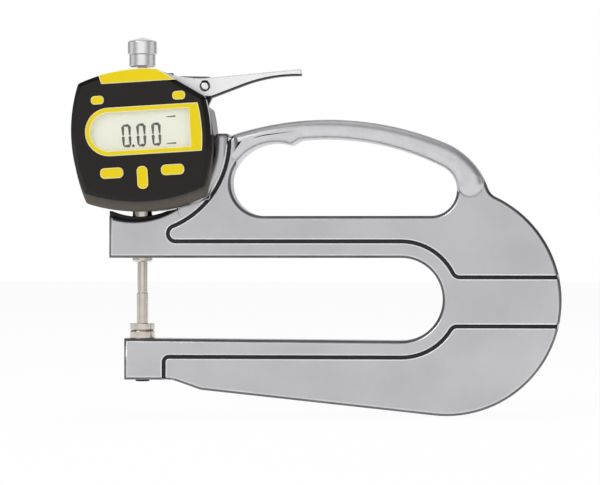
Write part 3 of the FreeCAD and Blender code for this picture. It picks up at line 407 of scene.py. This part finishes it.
def display_cream():
    # The reflector behind a liquid crystal: a greenish cream with a fine pearly grain.
    finish, tree, place = start_finish("liquid crystal reflector")
    pearl = add(tree, "TexNoise", {"Vector": place, "Scale": per_mm(0.25), "Detail": 2.0})
    clouds = add(tree, "TexNoise", {"Vector": place, "Scale": per_mm(12), "Detail": 1.0})
    tone = add(tree, "Mix", {0: 0.5, 2: pearl.outputs["Fac"], 3: clouds.outputs["Fac"]})
    shade(tree, {
        "Base Color": between(tree, tone.outputs[0], "#F0F0E0", "#FCFCF0"),
        "Roughness": spread(tree, pearl.outputs["Fac"], 0.4, 0.55),
    })
    return finish


def display_dark():
    # A driven crystal segment: dark grey, slightly uneven.
    finish, tree, place = start_finish("dark display segment")
    uneven = add(tree, "TexNoise", {"Vector": place, "Scale": per_mm(0.8), "Detail": 2.0})
    shade(tree, {
        "Base Color": between(tree, uneven.outputs["Fac"], "#1C1D1D", "#343534"),
        "Roughness": 0.5,
    })
    return finish


def black_oxide():
    # Screws blackened in hot salts: a blue-black film that is worn paler here and there.
    finish, tree, place = start_finish("black oxide steel")
    worn = add(tree, "TexNoise", {"Vector": place, "Scale": per_mm(0.9), "Detail": 4.0})
    shade(tree, {
        "Base Color": between(tree, worn.outputs["Fac"], "#15161A", "#44454A"),
        "Metallic": 0.8,
        "Roughness": spread(tree, worn.outputs["Fac"], 0.3, 0.5),
    })
    return finish


def circuit_lacquer():
    # Solder lacquer on glass-fibre board: green with the weave just showing.
    finish, tree, place = start_finish("green circuit lacquer")
    weave = add(tree, "TexBrick", {"Vector": place, "Scale": per_mm(1.0)})
    shade(tree, {
        "Base Color": between(tree, weave.outputs["Fac"], "#12502B", "#1B6B3A"),
        "Roughness": 0.35,
    })
    return finish


def spring_brass():
    # Rolled phosphor bronze: warm, with fine rolling lines.
    finish, tree, place = start_finish("phosphor bronze")
    lines = add(tree, "TexNoise", {"Vector": place, "Scale": per_mm(0.4), "Detail": 2.0})
    shade(tree, {
        "Base Color": between(tree, lines.outputs["Fac"], "#B58A3C", "#D9B366"),
        "Metallic": 1.0,
        "Roughness": spread(tree, lines.outputs["Fac"], 0.25, 0.4),
    })
    return finish


FINISHES = {}


def made_finish(maker):
    """The material that a maker gives, made the first time that it is asked for."""
    if maker.__name__ not in FINISHES:
        FINISHES[maker.__name__] = maker()
    return FINISHES[maker.__name__]


# Shapes


def merged_copy(node):
    """A bmesh of a CAD node with its loose triangles joined and its flat faces made whole."""
    shape = bmesh.new()
    shape.from_mesh(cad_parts[node].data)
    bmesh.ops.remove_doubles(shape, verts=shape.verts, dist=0.002 * MM)
    bmesh.ops.dissolve_limit(shape, angle_limit=math.radians(0.6), verts=shape.verts, edges=shape.edges)
    shape.normal_update()
    return shape


def round_edges(shape, width, sharpest=20, segments=3, where=None, clamp=True, finish_number=-1):
    """Round the edges that turn by more than an angle, in degrees, and pass a test, if one is given.

    The width is in millimetres. The new faces get the finish of that number, or else their neighbour's.
    """
    turning = []
    for edge in shape.edges:
        if len(edge.link_faces) == 2 and edge.calc_face_angle(0) > math.radians(sharpest):
            if where is None or where(edge):
                turning.append(edge)
    bmesh.ops.bevel(
        shape, geom=turning, offset=width * MM, offset_type="OFFSET", segments=segments, profile=0.5,
        affect="EDGES", clamp_overlap=clamp, material=finish_number)
    shape.normal_update()


def meets(edge, first, second):
    """Whether a raised edge lies between two faces whose normals' front parts are near these values."""
    parts = [abs(face.normal.y) for face in edge.link_faces]
    fits = abs(max(parts) - first) < 0.02 and abs(min(parts) - second) < 0.1
    return fits and edge.is_convex


def paint_faces(shape, number, where):
    """Give the faces that pass a test another of the piece's finishes."""
    for face in shape.faces:
        if where(face):
            face.material_index = number


def settle(shape, label, body, makers, stands_for=()):
    """Make a bmesh a piece of the gauge that rides on a body."""
    data = bpy.data.meshes.new(label)
    shape.to_mesh(data)
    shape.free()
    for polygon in data.polygons:
        polygon.use_smooth = True
    data.set_sharp_from_angle(angle=math.radians(38))
    for maker in makers:
        data.materials.append(made_finish(maker))
    piece = bpy.data.objects.new(label, data)
    bpy.context.scene.collection.objects.link(piece)
    weigh = piece.modifiers.new("even shading", "WEIGHTED_NORMAL")
    weigh.keep_sharp = True
    weigh.weight = 80
    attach(piece, body)
    if stands_for:
        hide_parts(*stands_for)
    return piece


def dress(label, node, body, makers, width=0.2, sharpest=20, edge=None):
    """A CAD node with rounded edges and its finish. Faces that pass the edge test get the second finish."""
    shape = merged_copy(node)
    round_edges(shape, width, sharpest)
    if edge:
        paint_faces(shape, 1, edge)
    return settle(shape, label, body, makers, [node])


def paint_node(node, maker):
    """Give a CAD node that keeps its own shape its finish."""
    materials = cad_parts[node].data.materials
    materials.clear()
    materials.append(made_finish(maker))


# The handle's bar follows the frame's own arcs: (centre x, centre z, radius, first angle, last angle)
BAR_ARCS = (
    (54.10, 55.29, 19.06, 146.5, 71.7),
    (73.40, -26.60, 102.56, 95.42, 62.97),
    (115.40, 55.70, 10.16, 62.97, 0.0),
    (130.78, 58.10, 5.73, 204.8, 384.8),
    (109.65, 46.80, 29.74, 27.5, 67.55),
    (74.40, -38.50, 122.04, 67.55, 107.85),
)
BAR_HALF = 9.4
BAR_ROUND = 3.6
BAR_STEP = 1.5


def bar_outline(shape):
    """One flat face in the shape of the handle's bar, each arc spun from its first point."""
    made = []
    for x, z, radius, first, last in BAR_ARCS:
        turn = math.radians(first)
        start = Vector((x + radius * math.cos(turn), 0, z + radius * math.sin(turn))) * MM
        vert = bmesh.ops.create_vert(shape, co=start)["vert"][0]
        sweep = math.radians(last - first)
        spun = bmesh.ops.spin(
            shape, geom=[vert], cent=Vector((x, 0, z)) * MM, axis=(0, -1, 0),
            angle=sweep, steps=max(8, int(abs(sweep) * radius / BAR_STEP)))
        end = [v for v in spun["geom_last"] if isinstance(v, bmesh.types.BMVert)][0]
        made.append((vert, end))
    for (_, end), (start, _) in zip(made, made[1:] + made[:1]):
        if (end.co - start.co).length > 0.02 * MM:
            bmesh.ops.contextual_create(shape, geom=[end, start])
    bmesh.ops.remove_doubles(shape, verts=shape.verts, dist=0.02 * MM)
    bmesh.ops.contextual_create(shape, geom=shape.edges[:])


# The horn curves round the head. Its half sizes are width and depth
HORN_CENTRE = (-1.1, 75.3)
HORN_REACH = 33.5
HORN_ANGLES = (3.5, -52.0)
HORN_HALF = (2.3, 8.0)
HORN_ROUND = 2.0
HORN_END_ROUND = 1.2
HORN_NARROWS = 0.2
HORN_STEPS = 28


def on_head(x, z, depth):
    """A point of the head's own face, in millimetres from its centre, as a place in the frame."""
    turn = math.radians(HEAD_TILT)
    return Vector((
        HEAD_CENTRE[0] + (x * math.cos(turn) - z * math.sin(turn)) * MM,
        depth,
        HEAD_CENTRE[1] + (x * math.sin(turn) + z * math.cos(turn)) * MM,
    ))


def faces_side(face):
    """Whether a face of the head looks to the side more than to the front."""
    return abs(face.normal.y) < HEAD_FLAT


# Operators


class GaugeLooks(bpy.types.PropertyGroup):
    """Sizes and colours that a user would change."""

    enamel: bpy.props.FloatVectorProperty(
        name="Enamel", description="Colour of the cast frame's enamel",
        default=linear("#CDCDD0")[:3], min=0, max=1, size=3, subtype="COLOR")
    yellow: bpy.props.FloatVectorProperty(
        name="Keys and trim", description="Colour of the keys, the display's frame and the trim",
        default=linear("#F7DC04")[:3], min=0, max=1, size=3, subtype="COLOR")
    cover: bpy.props.FloatVectorProperty(
        name="Front cover", description="Colour of the moulded cover",
        default=linear("#1C1612")[:3], min=0, max=1, size=3, subtype="COLOR")
    rim_round: bpy.props.FloatProperty(
        name="Rim rounding", description="How far the frame's rims are rounded",
        default=0.35 * MM, min=0.05 * MM, max=0.4 * MM, subtype="DISTANCE", unit="LENGTH")
    lip_round: bpy.props.FloatProperty(
        name="Groove lip rounding", description="How far the lips of the grooves are rounded",
        default=0.45 * MM, min=0.05 * MM, max=0.6 * MM, subtype="DISTANCE", unit="LENGTH")
    segment_wide: bpy.props.FloatProperty(
        name="Segment width", description="Width of a stroke of the display's digits",
        default=1.2 * MM, min=0.3 * MM, max=1.4 * MM, subtype="DISTANCE", unit="LENGTH")


class GAUGE_OT_frame(bpy.types.Operator):
    """Cast frame with its enamel, grooves and rounded rims"""

    bl_idname = "gauge.frame"
    bl_label = "Cast frame"

    def execute(self, context):
        looks = context.scene.gauge_looks
        makers = [silver_enamel, groove_shade_paint, groove_lip_highlight, rim_corner_shade, rubbed_and_highlit_enamel]
        # Finish numbers: plain enamel, painted shade in grooves, painted highlight on lips, painted shade on
        # rim corners, paler enamel
        plain, groove, lip, worn, rubbed = range(len(makers))
        shape = merged_copy("frame")
        bmesh.ops.triangulate(shape, faces=shape.faces)
        rim_round = looks.rim_round / MM
        lip_round = looks.lip_round / MM
        # The groove lips and the rims' inner edges get painted highlight, the rims' outer corners painted
        # shade
        for width, front, side, number in (
            (lip_round, 1, 0, lip),
            (rim_round, 1, CHAMFER_SLOPE, rubbed),
            (rim_round, CHAMFER_SLOPE, 0, worn),
        ):
            round_edges(
                shape, width, where=lambda edge: meets(edge, front, side), clamp=False, finish_number=number)

        def in_groove(face):
            depths = [abs(vert.co.y) for vert in face.verts]
            if abs(face.normal.y) > NEARLY_FLAT:
                return max(depths) < GROOVE_FLOOR
            return min(depths) > GROOVE_LOW and abs(face.normal.y) < UPRIGHT_FACE

        def in_head_shade(face):
            middle = face.calc_center_median()
            away = math.hypot(middle.x - SHADE_CENTRE[0], middle.z - SHADE_CENTRE[2])
            return away < SHADE_REACH[1] and middle.x < SHADE_END

        def on_chamfer(face):
            low, high = CHAMFER_RANGE
            return low < abs(face.normal.y) < high and face.material_index == plain

        # Painted shade: the rims' chamfers go dark grey
        paint_faces(shape, worn, on_chamfer)
        # Painted shade: the grooves' walls and floors go near black
        paint_faces(shape, groove, in_groove)
        # Painted shade: rounded edges close to the head take the near-black groove finish too
        paint_faces(shape, groove, lambda face: face.material_index > groove and in_head_shade(face))
        paint_faces(shape, plain, lambda face: abs(face.normal.y) > FLAT_FACE and not in_groove(face))
        settle(shape, "cast_frame", "base", makers, ["frame"])
        self.make_bar()
        self.make_horn()
        return {"FINISHED"}

    def make_horn(self):
        """The horn's rounded front and back, spun round the head's cradle and narrowed towards the arm."""
        shape = bmesh.new()
        quad = bmesh.ops.create_grid(shape, x_segments=1, y_segments=1, size=1)["verts"]
        bmesh.ops.scale(shape, verts=quad, vec=(HORN_HALF[0] * MM, HORN_HALF[1] * MM, 1))
        bmesh.ops.bevel(
            shape, geom=quad, offset=HORN_ROUND * MM, offset_type="OFFSET", segments=6, profile=0.5,
            affect="VERTICES", material=-1)
        centre = Vector((HORN_CENTRE[0], 0, HORN_CENTRE[1])) * MM
        bmesh.ops.translate(shape, verts=shape.verts, vec=centre + Vector((HORN_REACH * MM, 0, 0)))
        first, last = (math.radians(angle) for angle in HORN_ANGLES)
        bmesh.ops.rotate(shape, verts=shape.verts, cent=centre, matrix=Matrix.Rotation(-first, 3, "Y"))
        section = shape.faces[:] + shape.edges[:] + shape.verts[:]
        bmesh.ops.spin(
            shape, geom=section, cent=centre, axis=(0, -1, 0), angle=last - first, steps=HORN_STEPS,
            use_duplicate=False)
        bmesh.ops.remove_doubles(shape, verts=shape.verts, dist=0.001 * MM)
        bmesh.ops.recalc_face_normals(shape, faces=shape.faces)
        round_edges(shape, HORN_END_ROUND, sharpest=70, segments=4)
        for vert in shape.verts:
            turned = math.atan2(vert.co.z - centre.z, vert.co.x - centre.x)
            vert.co.y *= 1 - HORN_NARROWS * max(0, (first - turned) / (first - last))
        settle(shape, "horn_round", "base", [silver_enamel])

    def make_bar(self):
        """The thick rounded bar of the handle, with its nose on the web."""
        shape = bmesh.new()
        bar_outline(shape)
        bmesh.ops.translate(shape, verts=shape.verts, vec=(0, -BAR_HALF * MM, 0))
        lifted = bmesh.ops.extrude_face_region(shape, geom=shape.faces[:], use_keep_orig=True)
        raised = [v for v in lifted["geom"] if isinstance(v, bmesh.types.BMVert)]
        bmesh.ops.translate(shape, verts=raised, vec=(0, 2 * BAR_HALF * MM, 0))
        bmesh.ops.recalc_face_normals(shape, faces=shape.faces)

        def across(edge):
            return abs(edge.verts[0].co.y - edge.verts[1].co.y) < MM

        round_edges(shape, BAR_ROUND, sharpest=60, segments=8, where=across, clamp=False)
        # The bar's paler enamel is partly rubbing and partly painted highlight
        settle(shape, "handle_bar", "base", [rubbed_and_highlit_enamel])


class GAUGE_OT_measuring_line(bpy.types.Operator):
    """Anvil, stem, spindle, contact disc and lifting knob"""

    bl_idname = "gauge.measuring_line"
    bl_label = "Anvil and spindle"

    def execute(self, context):
        dress("anvil_disc", "anvil", "base", [turned_steel], 0.15)
        dress("anvil_screw_head", "anvil_screw", "base", [black_oxide], 0.12)
        dress("stem_sleeve", "stem", "base", [turned_steel], 0.15)
        dress("clamp_screw", "stem_clamp_screw", "base", [black_oxide], 0.1)
        dress("measuring_rod", "spindle", "spindle", [turned_steel], 0.12)
        dress("contact_disc", "contact_point", "spindle", [turned_steel], 0.15)
        dress("knob_collar", "lift_knob", "spindle", [bright_chrome], 0.2)
        dress("knob_dome", "knob_cap", "spindle", [bright_chrome], 0.25)
        return {"FINISHED"}


class GAUGE_OT_case(bpy.types.Operator):
    """Metal housing of the head, its back cover and their screws"""

    bl_idname = "gauge.case"
    bl_label = "Case and back"

    def execute(self, context):
        dress("case_shell", "case", "base", [brushed_aluminium], 0.25)
        dress("rear_cover", "back_cover", "base", [brushed_aluminium], 0.2)
        dress("rear_screws", "back_cover_screws", "base", [black_oxide], 0.1)
        dress("cell_cover", "battery_cover", "base", [charcoal_moulding], 0.12)
        return {"FINISHED"}


class GAUGE_OT_cover(bpy.types.Operator):
    """Charcoal face of the head with its polished rim and yellow insert"""

    bl_idname = "gauge.cover"
    bl_label = "Front cover"

    def execute(self, context):
        # The cover's side faces get a darker colour as painted shade
        dress("moulded_cover", "front_cover", "base", [charcoal_moulding, glossy_black_shade],
              0.3, edge=faces_side)
        self.make_back_plate()
        # The trim's side faces get painted highlight
        dress("trim_insert", "top_trim", "base", [yellow_moulding, yellow_edge_highlight],
              0.25, edge=faces_side)
        return {"FINISHED"}

    def make_back_plate(self):
        """A thin black plate behind the circuit board, which closes the cover above the case."""
        shape = merged_copy("circuit_board")
        back = max(vert.co.y for vert in shape.verts)
        flat = Matrix.Scale(BACK_PLATE * MM / (back - min(vert.co.y for vert in shape.verts)), 4, (0, 1, 0))
        bmesh.ops.transform(shape, matrix=flat, space=Matrix.Translation((0, -back, 0)), verts=shape.verts)
        bmesh.ops.translate(shape, verts=shape.verts, vec=(0, BACK_PLATE * MM, 0))
        round_edges(shape, 0.08)
        settle(shape, "cover_back_plate", "base", [charcoal_moulding])


class GAUGE_OT_display(bpy.types.Operator):
    """Display with its yellow frame, window and digits"""

    bl_idname = "gauge.display"
    bl_label = "Display"

    def execute(self, context):
        # The bezel's side faces get painted highlight
        dress("display_bezel", "display_frame", "base", [yellow_moulding, yellow_edge_highlight],
              0.3, edge=faces_side)
        dress("display_pane", "display_window", "base", [clear_window], 0.1)
        dress("display_plate", "lcd_panel", "base", [display_cream], 0.1)
        self.make_digits(context.scene.gauge_looks.segment_wide / MM)
        return {"FINISHED"}

    def make_digits(self, stroke):
        """Seven-segment digits that read zero, with their point."""
        top = (DIGIT_HIGH - stroke) / 2
        side = (DIGIT_WIDE - stroke) / 2
        shape = bmesh.new()
        for middle in DIGIT_MIDDLES:
            for z in (-top, top):
                self.add_bar(shape, middle, z, DIGIT_WIDE - stroke, stroke)
            for x in (-side, side):
                for z in (-top / 2, top / 2):
                    self.add_bar(shape, middle + x, z, top - 0.15 * stroke, stroke, upright=True)
        self.add_bar(shape, POINT_MIDDLE, -top, stroke, stroke)
        for x, z in SIGN_MIDDLES:
            self.add_bar(shape, x, z, DIGIT_WIDE, stroke / 2)
        settle(shape, "display_digits", "base", [display_dark])

    def add_bar(self, shape, x, z, long, stroke, upright=False):
        """One raised bar of the display, with pointed ends."""
        verts = bmesh.ops.create_circle(shape, cap_ends=True, radius=stroke / 2 * MM, segments=6)["verts"]
        for vert in verts:
            vert.co.x += math.copysign((long - stroke) / 2 * MM, vert.co.x)
        lay = Matrix.Rotation(math.pi / 2 if upright else 0, 3, "Z")
        stand = Matrix.Rotation(math.radians(-HEAD_TILT), 3, "Y") @ Matrix.Rotation(math.pi / 2, 3, "X")
        bmesh.ops.rotate(shape, verts=verts, matrix=stand @ lay, cent=(0, 0, 0))
        bmesh.ops.translate(shape, verts=verts, vec=on_head(x, z, LCD_FACE))
        face = list(verts[0].link_faces)
        lifted = bmesh.ops.extrude_face_region(shape, geom=face)
        raised = [v for v in lifted["geom"] if isinstance(v, bmesh.types.BMVert)]
        bmesh.ops.translate(shape, verts=raised, vec=(0, -DIGIT_RAISED * MM, 0))


class GAUGE_OT_keys(bpy.types.Operator):
    """Five yellow keys"""

    bl_idname = "gauge.keys"
    bl_label = "Keys"

    def execute(self, context):
        for place in ("top_left", "top_right", "bottom_left", "bottom_right", "bottom_middle"):
            node = "button_" + place
            # The keys' side faces get painted highlight
            dress("key_" + place, node, node, [yellow_moulding, yellow_edge_highlight],
                  0.5, edge=faces_side)
        return {"FINISHED"}


class GAUGE_OT_lever(bpy.types.Operator):
    """Lifting lever with its pin, ear and screws"""

    bl_idname = "gauge.lever"
    bl_label = "Lifting lever"

    def execute(self, context):
        def on_arm(edge):
            return min(vert.co.x for vert in edge.verts) > LEVER_THIN_FROM

        def underside(face):
            return face.normal.z < -0.2 and face.calc_center_median().x > LEVER_THIN_FROM

        shape = merged_copy("lever")
        round_edges(shape, LEVER_ROUND, where=on_arm, clamp=False)
        # Painted shade: the lever's downward faces go dark grey
        paint_faces(shape, 1, underside)
        settle(shape, "lever_arm", "lever", [lever_alloy, painted_edge_shade], ["lever"])
        # Painted shade: the sides of the pin's dome get a dark ring
        dress("pivot_pin", "lever_pin", "base", [bright_chrome, painted_edge_shade], 0.12,
              edge=lambda face: abs(face.normal.y) < PIN_DOME)
        dress("lever_ear", "lever_bracket", "base", [brushed_aluminium], 0.3)
        dress("ear_screws", "bracket_screws", "base", [black_oxide], 0.1)
        return {"FINISHED"}


class GAUGE_OT_inside(bpy.types.Operator):
    """Working parts inside the case"""

    bl_idname = "gauge.inside"
    bl_label = "Inner parts"

    def execute(self, context):
        for node, maker in (
            ("circuit_board", circuit_lacquer), ("key_domes", spring_brass), ("battery", turned_steel),
            ("scale_carrier", brushed_aluminium), ("scale_strip", display_cream),
            ("reader_head", charcoal_moulding), ("guide_rail", turned_steel),
        ):
            paint_node(node, maker)
        self.make_spring()
        return {"FINISHED"}

    def make_spring(self):
        """The return spring, wound round the spindle."""
        low, high = (corner[2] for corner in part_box("return_spring"))
        steps = SPRING_TURNS * SPRING_STEPS
        rise = (high - low - 2 * SPRING_WIRE * MM) / steps
        shape = bmesh.new()
        wire = bmesh.ops.create_circle(
            shape, cap_ends=True, radius=SPRING_WIRE * MM, segments=SPRING_SIDES)["verts"]
        bmesh.ops.rotate(shape, verts=wire, matrix=Matrix.Rotation(math.pi / 2, 3, "X"), cent=(0, 0, 0))
        bmesh.ops.translate(shape, verts=wire, vec=(SPRING_REACH * MM, 0, low + SPRING_WIRE * MM))
        bmesh.ops.spin(shape, geom=shape.faces[:], cent=(0, 0, 0), axis=(0, 0, 1), dvec=(0, 0, rise),
                       angle=SPRING_TURNS * math.tau, steps=steps)
        bmesh.ops.holes_fill(shape, edges=shape.edges, sides=SPRING_SIDES)
        bmesh.ops.recalc_face_normals(shape, faces=shape.faces)
        spring = settle(shape, "wound_spring", "base", [turned_steel], ["return_spring"])
        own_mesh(spring)


class GAUGE_OT_stage(bpy.types.Operator):
    """Pale floor, soft studio light and the camera"""

    bl_idname = "gauge.stage"
    bl_label = "Stage"

    def execute(self, context):
        self.make_floor()
        self.make_world(context.scene)
        self.make_lamps(context.scene)
        self.make_camera(context.scene)
        context.scene.view_settings.view_transform = "Standard"
        return {"FINISHED"}

    def make_floor(self):
        """A wide plain floor at the gauge's lowest point, white to the camera but for a soft shadow."""
        shape = bmesh.new()
        bmesh.ops.create_grid(shape, x_segments=1, y_segments=1, size=4)
        low = CAD_BOX[0][2]
        bmesh.ops.translate(shape, verts=shape.verts, vec=(0, 0, low))
        data = bpy.data.meshes.new("floor")
        shape.to_mesh(data)
        shape.free()
        floor = bpy.data.objects.new("floor", data)
        bpy.context.scene.collection.objects.link(floor)
        paper, tree, place = start_finish("white paper")
        fibre = add(tree, "TexNoise", {"Vector": place, "Scale": per_mm(300), "Detail": 2.0})
        matt = add(tree, "BsdfDiffuse", {"Color": between(tree, fibre.outputs["Fac"], "#FAFAFA", "#FFFFFF")})
        glow = add(tree, "Emission", {"Color": linear("#FFFFFF"), "Strength": 1.0})
        path = add(tree, "LightPath")
        seen = add(tree, "Math", {0: path.outputs["Is Camera Ray"], 1: path.outputs["Is Glossy Ray"]},
                   operation="MAXIMUM")
        share = add(tree, "Math", {0: seen.outputs[0], 1: FLOOR_GLOW}, operation="MULTIPLY")
        both = add(tree, "MixShader", {0: share.outputs[0], 1: matt.outputs[0], 2: glow.outputs[0]})
        add(tree, "OutputMaterial", {"Surface": both.outputs[0]})
        data.materials.append(paper)

    def make_world(self, scene):
        """White all round to the camera. Metal also sees the darker sides and roof of a studio tent."""
        world = bpy.data.worlds.new("studio tent")
        world.use_nodes = True
        tree = world.node_tree
        tree.nodes.clear()
        way = add(tree, "TexCoord").outputs["Generated"]
        axes = add(tree, "SeparateXYZ", {0: way})
        wall = self.tent_level(tree, axes.outputs["X"], band_end=0.18, panel_end=0.45)
        roof = self.tent_level(tree, axes.outputs["Z"], band_end=0.32, panel_end=0.35)
        level = add(tree, "Math", {0: wall, 1: roof}, operation="MULTIPLY").outputs[0]
        path = add(tree, "LightPath")
        plain = add(tree, "Background", {"Color": linear("#FFFFFF"), "Strength": 1.0})
        tent = add(tree, "Background", {"Color": linear("#FFFFFF"), "Strength": level})
        room = add(tree, "Background", {"Color": linear("#FFFFFF"), "Strength": 0.5})
        glossy = path.outputs["Is Glossy Ray"]
        far = add(tree, "MixShader", {0: glossy, 1: room.outputs[0], 2: tent.outputs[0]})
        seen = add(tree, "Math", {0: path.outputs["Is Camera Ray"], 1: path.outputs["Is Transmission Ray"]},
                   operation="MAXIMUM")
        both = add(tree, "MixShader", {0: seen.outputs[0], 1: far.outputs[0], 2: plain.outputs[0]})
        add(tree, "OutputWorld", {"Surface": both.outputs[0]})
        scene.world = world

    def tent_level(self, tree, part, band_end, panel_end):
        """The tent's light along one axis: full in front, a dark band to the side, then a paler panel."""
        size = add(tree, "Math", {0: part}, operation="ABSOLUTE").outputs[0]
        band = spread(tree, size, 0.95, band_end, 0.35, 0.75)
        panel = spread(tree, size, 0, panel_end, 0.9, 0.98)
        return add(tree, "Math", {0: band, 1: panel}, operation="ADD").outputs[0]

    def make_lamps(self, scene):
        """Three soft boxes: over the left shoulder, from the right and from above."""
        aim = Vector((0.07, 0, 0.04))
        for name, spot, size, power in (
            ("key box", (-0.7, -0.9, 0.8), 0.7, 5.0),
            ("fill box", (1.0, -0.8, 0.3), 0.8, 2.6),
            ("top box", (0.1, 0.2, 1.1), 0.9, 4.0),
        ):
            light = bpy.data.lights.new(name, "AREA")
            light.shape = "SQUARE"
            light.size = size
            light.energy = power
            lamp = bpy.data.objects.new(name, light)
            lamp.location = spot
            lamp.rotation_euler = (aim - Vector(spot)).to_track_quat("-Z", "Y").to_euler()
            # Only the key box shows in metal. The tent gives the other reflections.
            lamp.visible_glossy = name == "key box"
            scene.collection.objects.link(lamp)

    def make_camera(self, scene):
        """The photograph's view: level, a little from the gauge's right."""
        aim = Vector(CAMERA_AIM)
        yaw = math.radians(CAMERA_YAW)
        lens = bpy.data.cameras.new("camera")
        lens.lens = CAMERA_LENS
        lens.sensor_width = CAMERA_SENSOR
        lens.clip_start = 0.01
        lens.clip_end = 20
        camera = bpy.data.objects.new("camera", lens)
        camera.location = aim + Vector((math.sin(yaw), -math.cos(yaw), 0)) * CAMERA_AWAY
        camera.rotation_euler = (aim - camera.location).to_track_quat("-Z", "Y").to_euler()
        scene.collection.objects.link(camera)
        scene.camera = camera


OPERATORS = (
    GAUGE_OT_stage, GAUGE_OT_frame, GAUGE_OT_measuring_line, GAUGE_OT_case, GAUGE_OT_cover,
    GAUGE_OT_display, GAUGE_OT_keys, GAUGE_OT_lever, GAUGE_OT_inside,
)


class GAUGE_PT_panel(bpy.types.Panel):
    """Buttons that build the gauge piece by piece"""

    bl_idname = "GAUGE_PT_panel"
    bl_label = "Thickness gauge"
    bl_space_type = "VIEW_3D"
    bl_region_type = "UI"
    bl_category = "Gauge"

    def draw(self, context):
        looks = context.scene.gauge_looks
        for name in ("enamel", "yellow", "cover", "rim_round", "lip_round", "segment_wide"):
            self.layout.prop(looks, name)
        for operator in OPERATORS:
            self.layout.operator(operator.bl_idname)


CLASSES = (GaugeLooks, *OPERATORS, GAUGE_PT_panel)


def register():
    for item in CLASSES:
        bpy.utils.register_class(item)
    bpy.types.Scene.gauge_looks = bpy.props.PointerProperty(type=GaugeLooks)


def unregister():
    del bpy.types.Scene.gauge_looks
    for item in reversed(CLASSES):
        bpy.utils.unregister_class(item)


def main():
    """Build the gauge."""
    register()
    for operator in OPERATORS:
        group, name = operator.bl_idname.split(".")
        getattr(getattr(bpy.ops, group), name)()


if __name__ == "__main__":
    main()
